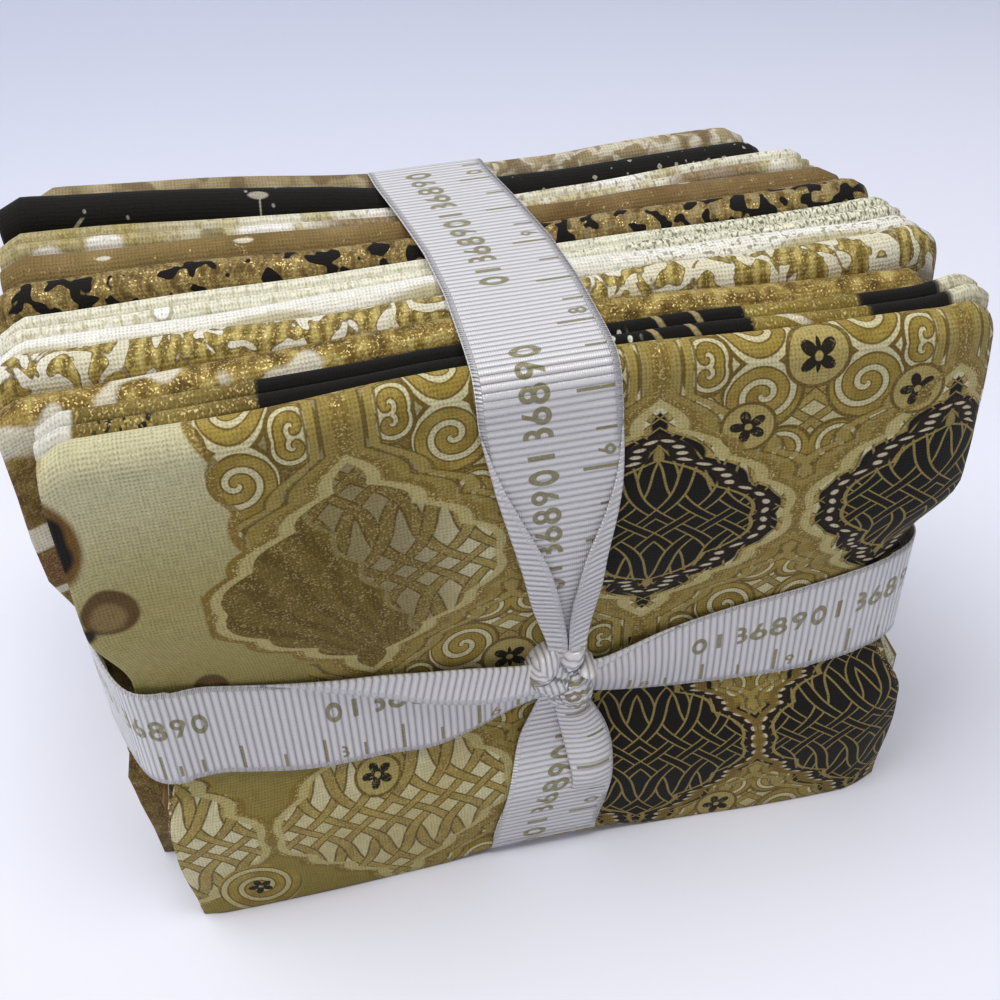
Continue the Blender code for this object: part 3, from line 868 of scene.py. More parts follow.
def damask_plain(s, share, hue, gold):
    """The plain part at the left, with a coil below it and blots at its edge."""
    # The field runs from olive at the bottom to pale cream at the top: partly the print's own colours, partly
    # painted shade towards the bottom.
    field = s.ramp((s.v + (s.u + 60.0) * -0.25 + hue * 16.0 - 8.0) / 112.0, [
        (0.0, "8a7a3a"), (0.20, "8a7a3e"), (0.48, "93864c"), (0.74, "a39962"), (0.98, "c5bf99")])
    s.paint(share, s.blend(s.u.above(-40.0, 12.0) * 0.55, field, "87783c"))
    x, y = s.u + 57.0, s.v - 7.0
    colours, near = coil(s, x, y, 8.5, 3.4, 0.3, 1.0, 0.17, "b9ae7c", gold)
    s.paint(near, colours)
    s.paint(flower(x, y, 2.6), PETAL)
    scallop = distance(s.u + 72.6 + (s.v - 101.0) * 0.22, (s.v - 101.0) / 1.6)
    s.paint(scallop.below(5.6, 0.6), "6f5226")
    s.paint((scallop + (s.v * 0.9).sine() * 0.3).below(4.2, 0.5), "17130e")
    for a, b, radius in ((-65.6, 84.7, 4.4), (-57.5, 61.5, 3.2)):
        s.paint(s.away(a, b).below(radius, 0.4), "5f4928")
        s.paint(s.away(a - 0.4, b - 0.9).below(radius * 0.62, 0.7), "857045")
    s.paint(s.spot(-70.2, 81.6, 1.7, 1.5, 0.4), "241b12")
    s.paint(s.spot(-72.0, 112.5, 2.6, 2.6, 0.3) * 0.9, "9c8450")


def damask(s):
    x = (s.u - OGEE_X).swing(OGEE_HALF)
    y = (s.v - OGEE_Z + OGEE_TALL / 2).repeat(OGEE_TALL) - OGEE_TALL / 2
    inside, run = ogee(x, y)
    edge = inside + (run * (math.pi / 8.6)).sine().size() * 1.5 - 0.8
    even = edge.above(0.0, 0.2)
    rim = edge - s.v.above(51.0, 0.5) * 4.5 + 1.5
    night = rim.above(0.0, 0.2) * s.u.above(-4.0, 0.5)
    border = s.u + (s.v - 60.0) * 0.19 + (s.v * (math.pi / 9.0)).sine().size() * 1.8 + 38.0
    bare = s.u.below(-52.4, 0.2) * s.v.above(51.0, 0.4)
    plain = (border.below(0.0, 0.3) * (1.0 - even)).most(bare)
    hue = s.noise(26.0, 1.0)
    fine = s.noise(5.0, 2.0)
    gold = s.blend(fine.above(0.5, 0.15), "8b7530", "9d883f")
    band, lines = basket(x, y, 2.0 * OGEE_HALF / 7.0, 1.2, 0.22)
    damask_ovals(s, band, lines, even, night, fine, gold, hue)
    damask_between(s, x, y, edge, even, night, gold)
    damask_beads(s, rim, run, night)
    gilt = edge.size().below(0.75, 0.15) * s.u.above(-58.0, 0.5) * (1.0 - bare)
    gilt = gilt.most(border.near(0.8, 0.7, 0.15) * s.v.above(66.0, 1.0) * (1.0 - even))
    s.paint(gilt * 0.85, "806a2c")
    damask_plain(s, (plain * edge.below(-0.6, 0.2)).most(bare), hue, gold)
    side = s.u.below(-71.2, 0.2)
    stops = [(0.30, "2a2013"), (0.42, "7a5c25"), (0.50, "d8d2b8"), (0.56, "8a6a30"), (0.66, "4a371a")]
    s.paint(side, s.ramp(s.noise(7.0, 1.0, s.vector(s.u * 0.3, s.v)), stops, "CONSTANT"))
    glitter = (band * 0.3 + gilt * 0.4 + even * 0.25).least(1.0) * (1.0 - plain) * (1.0 - night)
    return glitter + side * 0.4


def black_gold(s):
    stops = [
        (-72.0, "d3d0c4"), (-65.4, "d3d0c4"), (-65.1, "72602a"), (-52.0, "85733a"), (-39.2, "6d5b28"),
        (-38.9, "100f0b"), (36.9, "100f0b"), (37.2, "8b7836"), (56.0, "7a672c"), (56.3, "12100c"),
        (69.9, "14120e"), (70.3, "cdc8ae"), (80.0, "c5bfa2")]
    s.colour = s.ramp((s.u + 80.0) / 160.0, [((x + 80.0) / 160.0, colour) for x, colour in stops])
    ribs = (s.u + (s.v - 110.0) * 0.9 + (s.v / 2.0).sine() * 0.5).repeat(6.0).near(3.0, 0.5, 0.2)
    s.paint(ribs * s.u.within(18.5, 31.0, 0.6) * 0.8, "a8966a")
    wedge = (s.u + (s.v - 112.0) * 2.6).near(38.0, 1.2, 0.3)
    s.paint(wedge * s.u.within(30.0, 46.0, 1.0) * 0.9, "cdc8b6")
    s.paint(s.cells(2.8, loose=0.5)[0].below(0.13, 0.04) * s.u.within(9.0, 19.0, 1.0), "d8d4c8")
    s.paint(s.noise(1.1, 1.0).above(0.56, 0.03) * s.spot(-58.0, 109.0, 4.5, 6.0), "1b170c")
    s.paint(s.noise(0.9, 1.0).above(0.58, 0.04) * s.u.above(70.5, 0.5) * 0.6, "8a8664")
    side = s.blend(s.noise(6.0, 1.0).above(0.5, 0.1), "5d4522", "7d6234")
    s.paint(s.u.below(-65.2, 0.2) * s.v.below(97.0, 2.0), side)
    return (s.u.below(-39.0, 0.6) * s.u.above(-65.0, 0.5) + s.u.within(37.0, 56.0, 0.6)) * 0.8


def gold_roll(s):
    stops = [(0.32, "584418"), (0.48, "7c6428"), (0.58, "978040"), (0.68, "b4a25e")]
    s.colour = s.ramp(s.noise(2.6, 2.0), stops)
    light = s.noise(7.0, 0.0).above(0.60, 0.04) * s.u.below(-22.0, 3.0) * s.v.above(105.0, 2.0)
    s.paint(light * 0.85, "ddd7c2")
    side = s.u.below(-62.0, 4.0) * s.v.below(105.0, 3.0)
    s.paint(side * 0.65, "5f4722")
    for middle, half, tint in (
            (90.0, 2.4, "d2cbb6"), (83.5, 3.0, "6f4d29"), (78.5, 0.8, "cfc7b0"), (69.0, 3.4, "a39564")):
        s.paint(s.v.near(middle, half, 0.3) * side, tint)
    return (1.0 - light) * (1.0 - side * 0.6) * 0.9


def white_scroll(s):
    shape = s.noise(5.4, 1.0, s.vector(s.u, s.v * 0.85), twist=1.5)
    fill = shape.above(0.485, 0.012)
    strokes = (s.u * 2.6 + (s.v / 1.7).sine() * 1.5).sine() * 0.22 + s.noise(1.5, 1.0)
    gold = s.ramp(strokes, [(0.30, "77642c"), (0.50, "93803f"), (0.72, "bcaa66")])
    s.colour = s.blend(s.noise(9.0, 0.0).above(0.56, 0.08) * 0.35, "dfdbc8", "c6bb8a")
    s.paint(fill, gold)
    s.paint(shape.near(0.485, 0.018, 0.010) * 0.8, "665327")
    pearl = distance(s.u.repeat(2.4) - 1.2, s.v - 108.6).below(0.85, 0.2) * s.u.below(-24.0, 0.5)
    s.paint(pearl * fill, "a9934c")
    # Brown below the top of the fold, where it goes down between its neighbours: painted shade.
    s.paint(s.v.below(106.8, 1.6) * 0.75, "5f4824")
    return fill * 0.8


def pale_edge(s):
    tint = s.noise(20.0, 0.0).above(0.5, 0.2)
    s.colour = s.blend(tint * 0.4, "e9e7de", "dbd8c6")
    s.paint(s.noise(0.9, 1.0).above(0.60, 0.03) * s.u.above(24.0, 10.0) * 0.7, "77765a")
    # Tan on the fold's front slope below its top: painted shade.
    s.paint((s.v + tint * 2.0).below(111.9, 0.8) * 0.75, "a89c6a")


def pebble(s):
    veins = s.cells(1.15, "DISTANCE_TO_EDGE").below(0.10, 0.05)
    dense = (s.u / 150.0 + s.noise(6.0, 1.0)).above(0.70, 0.14)
    s.colour = s.blend(veins * dense * 0.5, "e0ddc8", "97977a")
    s.paint(s.noise(0.5, 0.0).above(0.60, 0.04) * (dense * 0.8 + 0.15), "78765c")
    gilt = s.noise(2.0, 1.0, s.vector(s.u * 2.4, s.v)).above(0.60, 0.03) * s.u.below(0.0, 14.0)
    s.paint(gilt * 0.5, "a59c6c")
    bloom = distance(s.u + 52.0, (s.v - 110.0) * 1.3)
    s.paint(bloom.near(1.5, 0.4, 0.2) * 0.6, "8d8a62")
    s.paint(bloom.below(1.3, 0.2), "f4f2ee")


def blotch(s):
    shape = s.noise(2.5, 1.0, s.vector(s.u * 0.80, s.v * 0.9, 2.0), twist=0.2)
    black = (shape + s.v.near(109.6, 2.6, 1.6) * 0.045).above(0.590, 0.012)
    cloud = s.noise(2.2, 2.0)
    s.colour = s.ramp(cloud, [(0.28, "5b4826"), (0.50, "7a6438"), (0.66, "937e4c"), (0.80, "a8955f")])
    leafy = (s.u * 3.0 + (s.v * 1.1).sine() * 2.0).sine() * 0.5 + cloud
    s.paint(leafy.above(0.80, 0.1) * 0.35, "b39c5c")
    ash = s.noise(2.0, 1.0, s.vector(s.u, s.v, 3.0)).above(0.56, 0.03) * s.u.above(14.0, 6.0)
    s.paint(ash * 0.35, "a3987a")
    s.paint(black, "14120e")
    return (cloud.above(0.46, 0.08) * 1.2).least(1.0) * (1.0 - black) * (1.0 - ash)


def bronze(s):
    s.colour = s.ramp(s.noise(14.0, 2.0), [(0.30, "68502e"), (0.52, "7b643e"), (0.72, "8c764e")])
    s.paint(s.u.below(-10.0, 40.0) * 0.35, "8f7c48")
    dash = s.spot(-37.0, 112.0, 1.7, 0.5) + s.spot(44.0, 114.0, 1.2, 0.5) + s.spot(-61.0, 111.5, 1.2, 0.4)
    s.paint(dash.least(1.0) * 0.8, "e0d9c4")
    return s.noise(1.8, 1.0).above(0.64, 0.04) * 0.8


def cream_floral(s):
    patch = s.noise(9.0, 1.0, twist=0.4)
    gold_end = s.u.below(-44.0, 16.0)
    s.colour = s.blend(patch.above(0.54, 0.06) * 0.6, "d9d5c2", "b3a66f")
    s.paint(gold_end * 0.75, "9a8a4c")
    strokes = s.noise(1.6, 1.0, s.vector(s.u * 2.2, s.v)).above(0.56, 0.04)
    s.paint(strokes * (patch.above(0.5, 0.08) + gold_end).least(1.0) * 0.5, "857538")
    petals = s.spot(-61.0, 109.0, 3.2, 1.7) + s.spot(-71.0, 108.0, 3.0, 1.4) + s.spot(-33.0, 109.0, 5.0, 2.8)
    petals = petals + s.spot(33.0, 333.0, 6.0, 2.6) + s.spot(-8.0, 334.0, 7.0, 2.6)
    s.paint(petals.least(1.0) * 0.85, "ebe8e2")
    s.paint(s.spot(-42.0, 108.5, 2.4, 2.8, 0.1) * 0.8, "7a6d3e")
    brown = s.spot(-14.0, 110.0, 9.0, 4.0, 0.5) + s.spot(52.0, 109.0, 9.0, 4.0, 0.3)
    s.paint(brown.least(1.0) * 0.7, "6e4c2c")
    s.paint(s.noise(0.8, 0.0).above(0.64, 0.03) * s.u.above(-25.0, 5.0) * 0.6, "77714e")
    return (patch.above(0.56, 0.05) + gold_end).least(1.0) * 0.45


def black_fleck(s):
    away, own = s.cells(7.0)
    flecks = away.below(0.040, 0.02) * own.above(0.62, 0.02)
    fine = s.noise(1.1, 0.0).above(0.76, 0.02) * s.u.above(8.0, 6.0)
    s.colour = s.blend((flecks + fine).least(1.0) * 0.8, "151411", "b0ab9a")
    stem = (s.u - (s.v - 109.0) * 0.1).near(-33.0, 0.16, 0.1) * s.v.near(109.0, 2.4, 0.3)
    leaf = (s.u - (s.v - 108.0) * 1.2).near(-66.0, 0.4, 0.15) * s.v.near(108.0, 1.1, 0.3)
    s.paint((stem + s.spot(-33.0, 111.6, 1.8, 0.7, 0.2) + leaf).least(1.0) * 0.75, "bcb6a2")


def tan(s):
    s.colour = s.ramp(s.noise(8.0, 2.0), [(0.30, "7c6c4c"), (0.50, "968765"), (0.68, "aea081")])
    light = s.noise(2.6, 1.0, twist=0.8).above(0.54, 0.08) * s.u.above(6.0, 6.0) * s.v.below(116.0, 2.0)
    dark = s.noise(5.0, 1.0, s.vector(s.u, s.v, 5.0)).above(0.56, 0.05)
    s.paint(light * 0.8, "d3cbb6")
    s.paint(dark * (s.v.below(117.0, 3.0) * 0.3 + 0.3), "5c452c")
    # Brown below the top of the fold, where it goes down between its neighbours: painted shade.
    s.paint(s.v.below(109.0, 1.5) * 0.7, "5b4229")


PRINTS = [
    damask, black_gold, gold_roll, white_scroll, pale_edge, pebble,
    blotch, bronze, cream_floral, black_fleck, tan]


def printed(draw):
    s = Surface(draw.__name__ + "_print")
    return s.finish(draw(s))


# Fabric of the ribbon


def numeral(x, y, which):
    """Ink of a plain numeral 3 mm by 4 mm round (0, 0): which picks 0, 1, 3, 6, 8 or 9 by its place in
    that row."""
    upper = distance(x, y - 1.0).near(0.95, 0.44, 0.08)
    lower = distance(x * 0.92, y + 0.95).near(1.05, 0.46, 0.08)
    oval = distance(x * 1.5, y * 0.86).near(1.6, 0.56, 0.1)
    tall = y.size().below(2.15, 0.08)
    bar = x.size().below(0.48, 0.08) * tall
    right_bar = (x - (y - 0.9).least(0.0) * 0.42).near(0.98, 0.44, 0.08) * tall * y.below(1.0, 0.1)
    left_bar = (x - (y + 0.9).most(0.0) * 0.42).near(-0.98, 0.44, 0.08) * tall * y.above(-1.0, 0.1)
    both = upper.most(lower)
    shapes = (oval, bar, both * x.above(-0.3, 0.1), lower.most(left_bar), both, upper.most(right_bar))
    ink = 0.0
    for k, shape in enumerate(shapes):
        ink = shape * which.near(k, 0.5, 0.01) + ink
    return ink


def ribbon_ink(u, v):
    """Ticks, a row of numerals and smaller numerals, as on a plain tape measure."""
    tick = u.repeat(14.0)
    long_tick = tick.near(7.0, 0.32, 0.06) * v.near(7.0, 3.0, 0.1)
    short_tick = tick.least(14.0 - tick).below(0.28, 0.06) * v.near(8.3, 1.7, 0.1)
    row = numeral(u.repeat(3.7) - 1.85, -v - 2.4, (u / 3.7).floor().repeat(6.0))
    row = row * (u / NUMERAL_RUN).repeat(1.0).below(0.72, 0.002)
    beside = numeral((u.repeat(28.0) - 10.0) * 1.6, (8.0 - v) * 1.6, (u / 28.0).floor().repeat(6.0))
    return (long_tick + short_tick + row + beside).least(1.0)


def ribbon_fabric():
    """White ribbed ribbon with a print: u runs along it and v across it, in millimetres."""
    s = Surface("ribbon_fabric")
    back = s.v.size().above(BACK_FACE / 2, 0.1)
    v = s.v - back * (s.v.above(0.0, 0.01) * 2.0 - 1.0) * BACK_FACE
    rib = ((s.u + back * (v.size() * 0.3 + 0.4)) * (math.pi / RIB_PITCH)).sine().size()
    cross = (v * (2.0 * math.pi / 0.36)).sine()
    selvage = v.size().above(10.1, 0.08)
    loops = (s.u * (2.0 * math.pi / (RIB_PITCH * 0.5)) + v * 3.0).sine() * 0.5 + 0.5
    body = rib.calc("POWER", 0.6) + cross * 0.07
    s.raise_by(body * (1.0 - selvage) + (loops * 0.55 + 0.35) * selvage, 1.0, RIB_DEPTH)
    ink = ribbon_ink(s.u, v) * (1.0 - back)
    wear = s.noise(0.5, 1.0).above(0.34, 0.12)
    # The white ribbon is painted grey in the gaps between its ribs: painted shade.
    s.colour = s.blend((1.0 - rib) * 0.48, "e6e4e5", "8e8e93")
    s.paint(ink * (wear * 0.25 + 0.70), "837c4c")
    s.shade({"Base Color": s.colour, "Roughness": ink * 0.25 + 0.25, "Specular IOR Level": 0.9})
    s.shade({"Sheen Weight": 0.2, "Sheen Roughness": 0.4})
    return s.material


# Sections across the ribbon


def turned_edge(half, flap, lean):
    """An edge folded over the front, from the free edge on: rows of place, lift and distance from the
    fold, and then the ribbon's own width where it turns."""
    flap = max(flap, 0.02)
    radius = min(0.36, 0.30 * flap)
    rows = []
    for n in range(6):
        back = flap * (1.0 - n / 6)
        rows.append((half - back, 2 * radius + lean * back + 0.04 * back * back / (flap + 1.0), back))
    for n in range(4):
        angle = math.pi * n / 4
        rows.append((half + radius * math.sin(angle), radius + radius * math.cos(angle), 0.0))
    return np.array(rows), RIBBON_WIDTH / 2 - min(flap, 9.0)


def ribbon_section(half, low_flap, high_flap, bow, high_lean=0.10):
    """Across the ribbon, from its low edge to its high edge: place, lift and its own width coordinate."""
    low, low_own = turned_edge(half, low_flap, 0.05)
    high, high_own = turned_edge(half, high_flap, high_lean)
    high = high[::-1]
    middle = np.linspace(-1.0, 1.0, 13)
    places = np.concatenate([-low[:, 0], middle * half, high[:, 0]])
    lifts = np.concatenate([low[:, 1], bow * (1.0 - middle**2), high[:, 1]])
    between = mix(-low_own, high_own, (middle + 1.0) / 2.0)
    low_own = -low_own - low[:, 2] - BACK_FACE * (low_flap > 0.1)
    high_own = high_own + high[:, 2] + BACK_FACE * (high_flap > 0.1)
    return places, lifts, np.concatenate([low_own, between, high_own])


def pleated_section(half, seam, overlap):
    """Across the ribbon with one pleat: the part beyond the seam lies over the part before it."""
    overlap = max(overlap, 0.02)
    radius = min(0.34, 0.30 * overlap)
    under = np.linspace(-half, seam + overlap, 14)
    over = np.linspace(seam, half, 13)
    share = (over - seam) / (half - seam)
    turn = np.pi * np.array([0.25, 0.5, 0.75])
    rise = radius * (1.0 - np.cos(turn))
    upper = 4 * radius * (1.0 - share**3) + 0.5 * min(overlap, 1.6) * np.sin(np.pi * share)
    round_fold = radius * np.sin(turn)
    places = np.concatenate([under, seam + overlap + round_fold, seam - round_fold, over])
    lifts = np.concatenate([0.0 * under, rise, 2 * radius + rise, upper])
    passed = lengths_of(np.stack([places, lifts], -1))
    return places, lifts, RIBBON_WIDTH * (passed / passed[-1] - 0.5)


# Ribbon round the sides


def convex_hull(points):
    ordered = sorted(set(points))
    halves = []
    for sequence in (ordered, ordered[::-1]):
        half = []
        for p in sequence:
            while len(half) > 1:
                a, b = half[-2], half[-1]
                turn = (b[0] - a[0]) * (p[1] - a[1]) - (b[1] - a[1]) * (p[0] - a[0])
                if turn > 0:
                    break
                half.pop()
            half.append(p)
        halves += half[:-1]
    return halves


def end_outline(side):
    """The ribbon's line round one end of the stack, seen from above, from front to back."""
    found = []
    for index, cloth in enumerate(CLOTHS):
        x = cloth[2] if side < 0 else cloth[3]
        for z in (RIBBON_SIDE_Z - FULL_HALF, RIBBON_SIDE_Z, RIBBON_SIDE_Z + FULL_HALF):
            for across in (0.05, 0.95):
                found.append((float(drawn_in_x(x, z)), float(lane(index, x, across, z))))
    inner = [(x - side * 30.0, y) for x, y in found]
    hull = np.array([p for p in convex_hull(found + inner) if side * p[0] > 56.0])
    hull = hull[np.argsort(hull[:, 1])]
    hull[:, 0] += side * RIBBON_CLEAR
    hull[0, 1] -= RIBBON_CLEAR * 0.6
    hull[-1, 1] += RIBBON_CLEAR * 0.6
    return hull


def side_loop():
    """Rows round the sides: x, y, height of the middle, half width, upper flap, bow, and 1 on the front.
    Then the number of the row where the front starts."""
    front = []
    for x, middle, half, lift, flap, bow in spline(FRONT_RUN, 8):
        y = float(front_face(x, middle)) - RIBBON_CLEAR - lift + SHIFT_Y
        front.append((x, y, middle, half, flap, bow, 1.0))
    plain = (FULL_HALF, 0.0, 0.0, 0.0)
    rest = [front[-1]]
    for side in (1, -1):
        outline = end_outline(side)[::side]
        kept = [outline[0]]
        for p in outline[1:]:
            if np.hypot(*(p - kept[-1])) > 4.0:
                kept.append(p)
        rest += [(*p, RIBBON_SIDE_Z, *plain) for p in kept]
        if side > 0:
            for x, lift in BACK_RUN:
                middle = float(ribbon_middle(x))
                y = float(back_face(x, middle)) + RIBBON_CLEAR + lift + SHIFT_Y
                rest.append((x, y, middle, *plain))
    rest.append(front[0])
    even = resample(front + list(spline(rest, 10)[1:]), 1.0, keys=2)[:-1]
    begin = int(np.argmax(even[:, 1]))
    even = np.vstack([even[begin:], even[: begin + 1]])
    return even, len(even) - 1 - begin


def closed_loop(rows, keys):
    """A closed run of rows, smoothed, and its lengths along the curve that the first numbers make."""
    loop = np.vstack([rows[-9:-1], rows, rows[1:9]])
    for _ in range(3):
        loop[1:-1] = loop[1:-1] * 0.5 + 0.25 * (loop[:-2] + loop[2:])
    smooth = loop[8:-8]
    smooth[0] = smooth[-1] = (smooth[0] + smooth[-1]) / 2
    return smooth, lengths_of(smooth[:, :keys])


def normals(plane):
    """Unit normals to the right of a run of points in a plane."""
    tangent = np.gradient(plane, axis=0)
    tangent /= np.linalg.norm(tangent, axis=1)[:, None]
    return np.stack([tangent[:, 1], -tangent[:, 0]], -1)


def side_strip():
    rows, front_start = side_loop()
    smooth, lengths = closed_loop(rows, 2)
    normal = normals(smooth[:, :2])
    points, own = [], []
    for k, (x, y, middle, half, flap, bow, front) in enumerate(smooth):
        places, lifts, widths = ribbon_section(half, 0.0, flap, bow, 0.26)
        z = middle + places
        out = lifts + 0.12 * waves(lengths[k] + 0.0 * z, z * 2.0, 11.0)
        follow = 0.0
        if front > 0.5:
            follow = front_face(x, np.clip(z, middle - half, middle + half)) - front_face(x, middle)
            follow = np.minimum(follow, 0.6)
        points.append(np.stack([x + normal[k, 0] * out, y + normal[k, 1] * out + follow, z], -1))
        own.append(-widths)
    start, end = lengths[front_start], lengths[-1]
    stretch = (NUMERAL_RUN * round(end / NUMERAL_RUN) - FRONT_LENGTH) / (end - FRONT_LENGTH)
    places = (0.0, start, start + FRONT_LENGTH, end)
    prints = (-start * stretch, 0.0, FRONT_LENGTH, FRONT_LENGTH + (end - start - FRONT_LENGTH) * stretch)
    return np.array(points), lengths, np.array(own), np.interp(lengths, places, prints)


# Ribbon over the top and under the foot


def top_bend(x, face_y, outward, degrees):
    """Rows of the ribbon where it goes over the top edge of one face."""
    rows = []
    for angle in np.radians(degrees):
        y = face_y + outward * ((TOP_BEND + RIBBON_CLEAR) * math.cos(angle) - TOP_BEND) + SHIFT_Y
        z = TOP_AT_RIBBON - SHOULDER + (SHOULDER + RIBBON_CLEAR) * math.sin(angle)
        rows.append((x, y, z, *FLAT_TOP))
    return rows


def down_path():
    """Rows over the top and under the foot: x, y, z, half width, left flap, right flap, face (0 front, 1 top
    or floor, 2 back), seam, overlap, and share of the pleat."""
    rows = []
    for z, x, half, lift, left_flap, right_flap, seam, overlap in spline(DOWN_RUN, 8):
        y = float(front_face(x, z)) - RIBBON_CLEAR - lift + SHIFT_Y
        rows.append((x, y, z, half, left_flap, right_flap, 0.0, seam, overlap, float(18.0 < z < 46.0)))
    face = TOP_AT_RIBBON - SHOULDER
    rows += top_bend(2.7, float(front_face(2.6, face)), -1.0, BEND_DEGREES)
    rows += [(x, y + SHIFT_Y, TOP_AT_RIBBON + RIBBON_CLEAR, *FLAT_TOP) for y, x in TOP_RUN]
    rows += top_bend(-0.7, float(back_face(-0.7, face)), 1.0, BEND_DEGREES[::-1])
    for z in (96.0, 84.0, 72.0, 60.0, 52.0, 44.0, 34.0, 22.0, 12.0, 5.0):
        y = float(back_face(1.2, z)) + RIBBON_CLEAR + SHIFT_Y
        rows.append((mix(1.2, -0.7, z / 110.0), y, z, *FLAT_BACK))
    low = FLOOR_NOTCH - RIBBON_CLEAR
    back_y = float(back_face(1.5, 2.0)) + SHIFT_Y
    front_y = float(front_face(2.2, 2.0)) + SHIFT_Y
    rows += [(x, y, z, *FLAT_TOP) for x, y, z in (
        (1.5, back_y - 0.4, low + 0.5), (1.6, back_y - 1.8, low), (1.8, 25.0, low), (1.8, 10.0, low),
        (1.6, -8.0, low), (1.4, -24.0, low), (1.0, front_y + 1.8, low))]
    rows.append((0.9, front_y + 0.2, low + 0.5, 10.7, 0.0, 0.0, 1.0, 3.0, 0.0, 0.5))
    rows.append(rows[0])
    return resample(rows, 1.0)


def down_strip():
    smooth, lengths = closed_loop(down_path(), 3)
    normal = -normals(smooth[:, 1:3])
    points, own = [], []
    for k, (x, y, z, half, left_flap, right_flap, face, seam, overlap, pleat) in enumerate(smooth):
        turned = np.array(ribbon_section(half, left_flap, right_flap, 0.35 * (FULL_HALF - half) / 8.0))
        pleated = np.array(pleated_section(half, seam, overlap))
        places, lifts, widths = mix(turned, pleated, np.clip(pleat, 0.0, 1.0))
        at = np.clip(places, -half, half)
        follow = 0.0
        if face < 0.4:
            follow = np.minimum(front_face(x + at, z) - front_face(x, z), 0.5)
        elif face > 1.6:
            follow = np.maximum(back_face(x + at, z) - back_face(x, z), -0.5)
        out = lifts + 0.10 * waves(lengths[k] + 0.0 * places, places * 2.0, 12.0)
        height = np.maximum(z + normal[k, 1] * out, 0.35)
        points.append(np.stack([x + places, y + normal[k, 0] * out + follow, height], -1))
        own.append(widths)
    return np.array(points), lengths, np.array(own), lengths - lengths[-1]


# Knot


def knot_height(x, z):
    """Height of the knot, and which of its lobes stands highest."""
    heights = []
    for middle_x, middle_z, long, wide, lean, height in KNOT_LOBES:
        angle = math.radians(lean)
        along = (x - middle_x) * math.cos(angle) + (z - middle_z) * math.sin(angle)
        across = (z - middle_z) * math.cos(angle) - (x - middle_x) * math.sin(angle)
        room = 1.0 - (along / long) ** 2 - (across / wide) ** 2
        pleats = 0.14 * np.cos(across * 4.4 + 0.6 * along)
        heights.append(np.where(room > 0, (height + pleats) * np.maximum(room, 0.0) ** 0.36, 0.4 * room))
    heights = np.array(heights)
    highest = heights.max(0)
    joined = np.log(np.exp(np.clip(heights, -3.0, None) * 4.0).sum(0)) / 4.0
    return np.where(highest > 0, np.maximum(joined - 0.12, 0.01), highest), heights.argmax(0)


def knot_reach(angle):
    """How far the knot's outline is from its middle in one direction."""
    steps = np.arange(1.0, 14.0, 0.05)
    x = KNOT_MIDDLE[0] + steps * math.cos(angle)
    z = KNOT_MIDDLE[1] + steps * math.sin(angle)
    return steps[np.argmax(knot_height(x, z)[0] <= 0.0)]


def knot_patch():
    """The knot's face as one puffed patch whose lobes are the ribbon's turns, with its rim tucked behind."""
    places = np.linspace(-1.0, 1.0, 61)
    a, b = np.meshgrid(places, places, indexing="ij")
    across, up = a * np.sqrt(1.0 - b * b / 2.0), b * np.sqrt(1.0 - a * a / 2.0)
    share = np.hypot(across, up)
    angles = np.arctan2(up, across)
    turns = np.linspace(-math.pi, math.pi, 121)
    reach = np.interp(angles, turns, [knot_reach(angle) for angle in turns])
    away = reach * np.sin(np.pi / 2.0 * np.minimum(share / 0.94, 1.0))
    x = KNOT_MIDDLE[0] + away * np.cos(angles)
    z = KNOT_MIDDLE[1] + away * np.sin(angles)
    height, lobe = knot_height(x, z)
    height = np.maximum(height, 0.0) - 1.4 * np.maximum(0.0, share - 0.94) / 0.06
    base = front_face(*KNOT_MIDDLE) + SHIFT_Y - RIBBON_CLEAR - 0.2
    first = KNOT_LOBES[0]
    chevron = np.maximum(x - first[0], first[1] - z)
    runs = [chevron * 1.25, x * 1.1 + z * 0.3, z - x * 0.25, z * 0.9, x * 0.9 - z * 0.5, x - z * 0.4, z]
    own = np.where(lobe == 2, x - 9.6, 0.2 * x)
    return np.stack([x, base - height, z], -1), np.choose(lobe, runs), own


# One mesh of the whole ribbon


def strip_bake(run, quads, shape):
    """Places of a strip's corners in the baked picture, where its length is cut into lanes."""
    along = np.broadcast_to((run * BAKE_LANES)[:, None], shape).reshape(-1)[quads]
    number = np.clip(np.floor(along.mean(1)), 0, BAKE_LANES - 1)[:, None]
    beside = np.broadcast_to(np.linspace(0.02, 0.98, shape[1])[None, :], shape).reshape(-1)[quads]
    return np.stack([(along - number + 0.02) / 1.04, (number + beside) / (BAKE_LANES + 1)], -1)


def knot_bake(quads, shape):
    """Places of the knot's corners in the baked picture, in a lane of its own."""
    a, b = np.meshgrid(np.linspace(0.0, 0.14, shape[0]), np.linspace(0.02, 0.98, shape[1]), indexing="ij")
    return np.stack([a.reshape(-1)[quads], (BAKE_LANES + b.reshape(-1)[quads]) / (BAKE_LANES + 1)], -1)


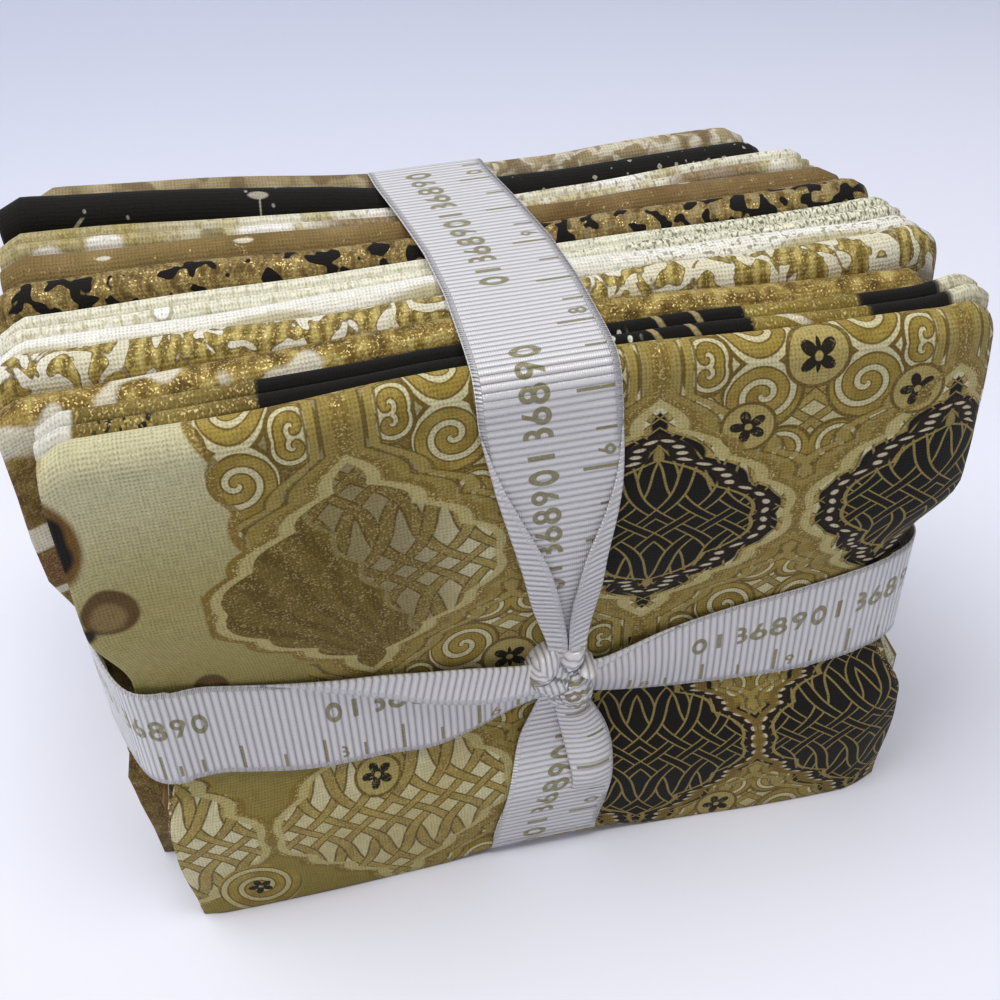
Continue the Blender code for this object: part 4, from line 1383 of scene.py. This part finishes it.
def join_strips(name, strips, knot, material):
    """One mesh of the ribbon's strips, each with its own stretch of length along the ribbon, and the knot."""
    total = sum(lengths[-1] for _, lengths, _, _ in strips)
    first_length = strips[0][1][-1]
    parts = []
    start = 0.0
    for grid, lengths, own, print_run in strips:
        quads = grid_faces(*own.shape)
        bake = strip_bake((start + lengths) / total, quads, own.shape)
        parts.append((grid, first_length + print_run[:, None], own, quads, bake))
        start += lengths[-1]
    grid, run, own = knot
    quads = grid_faces(*own.shape)
    parts.append((grid, run, own, quads, knot_bake(quads, own.shape)))
    points, faces, prints, bakes = [], [], [], []
    count = 0
    for grid, run, own, quads, bake in parts:
        points.append(grid.reshape(-1, 3))
        faces.append(quads + count)
        prints.append(np.stack(np.broadcast_arrays(run, own), -1).reshape(-1, 2))
        bakes.append(bake)
        count += own.size
    thing = mesh_object(name, np.vstack(points), np.vstack(faces), {"Print": np.vstack(prints)})
    add_map(thing.data, "OFBake", np.vstack(bakes))
    return thicken(thing, RIBBON_THICK, material)


# Stage, lights and camera


def make_stage():
    """A sheet of studio paper: floor, a wide bend, and a wall behind, a little darker towards the back as
    painted shade.
    """
    profile = [(PAPER_FRONT, 0.0), (PAPER_BEND_AT, 0.0)]
    for degrees in range(10, 91, 10):
        a = math.radians(degrees)
        profile.append((PAPER_BEND_AT + PAPER_BEND * math.sin(a), PAPER_BEND * (1 - math.cos(a))))
    profile.append((PAPER_BEND_AT + PAPER_BEND, PAPER_TOP))
    points = np.array([(x, y, z) for x in (-PAPER_HALF, PAPER_HALF) for y, z in profile]) / MM
    paper = mesh_object("studio_floor", points, grid_faces(2, len(profile))[:, ::-1], {})
    s = Surface("studio_paper")
    depth = s.split(s.node("TexCoord", {}).outputs["Object"])[1]
    # Paler at the front and darker towards the back: painted shade.
    s.shade({"Base Color": s.ramp(depth, [(0.02, "ecedf8"), (0.60, "cdd2e4")]), "Roughness": 0.9})
    paper.data.materials.append(s.material)


def add_light(name, place, size, power, colour):
    data = bpy.data.lights.new(name, "AREA")
    data.shape = "DISK"
    data.size = size
    data.energy = power
    data.color = colour
    light = bpy.data.objects.new(name, data)
    light.location = place
    light.rotation_euler = (LIGHT_TARGET - Vector(place)).to_track_quat("-Z", "Y").to_euler()
    bpy.context.scene.collection.objects.link(light)


def add_camera():
    yaw, pitch, roll = CAMERA_YAW, CAMERA_PITCH, CAMERA_ROLL
    ahead = Vector((math.sin(yaw) * math.cos(pitch), math.cos(yaw) * math.cos(pitch), -math.sin(pitch)))
    level = Vector((math.cos(yaw), -math.sin(yaw), 0.0))
    upright = level.cross(ahead)
    right = level * math.cos(roll) + upright * math.sin(roll)
    up = upright * math.cos(roll) - level * math.sin(roll)
    turn = Matrix((right, up, -ahead)).transposed().to_4x4()
    data = bpy.data.cameras.new("photo_camera")
    data.lens = CAMERA_LENS
    data.sensor_width = 36.0
    data.sensor_fit = "HORIZONTAL"
    data.clip_start = 0.01
    camera = bpy.data.objects.new("photo_camera", data)
    camera.matrix_world = Matrix.Translation(CAMERA_AT) @ turn
    bpy.context.scene.collection.objects.link(camera)
    bpy.context.scene.camera = camera


def add_world():
    world = bpy.data.worlds.new("soft_room")
    world.use_nodes = True
    light = world.node_tree.nodes["Background"]
    light.inputs["Color"].default_value = WORLD_COLOUR
    light.inputs["Strength"].default_value = WORLD_STRENGTH
    bpy.context.scene.world = world


# Build everything

sheets = [folded_sheet(k, cloth, printed(draw)) for k, (cloth, draw) in enumerate(zip(CLOTHS, PRINTS))]
ribbon = join_strips("ribbon_tie_fabric", [down_strip(), side_strip()], knot_patch(), ribbon_fabric())
make_stage()
add_world()
for light in LIGHTS:
    add_light(*light)
add_camera()
bpy.context.scene.view_settings.view_transform = "Standard"

# Hide the solid that each piece stands for, and hang each piece on what it rides on

for k, (thing, cloth) in enumerate(zip(sheets, CLOTHS)):
    beside = [CLOTHS[n][0] for n in (k - 1, k + 1) if 0 <= n < len(CLOTHS)]
    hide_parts(cloth[0])
    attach(thing, "root")

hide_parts("ribbon_tie")
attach(ribbon, "root")

bpy.context.view_layer.update()
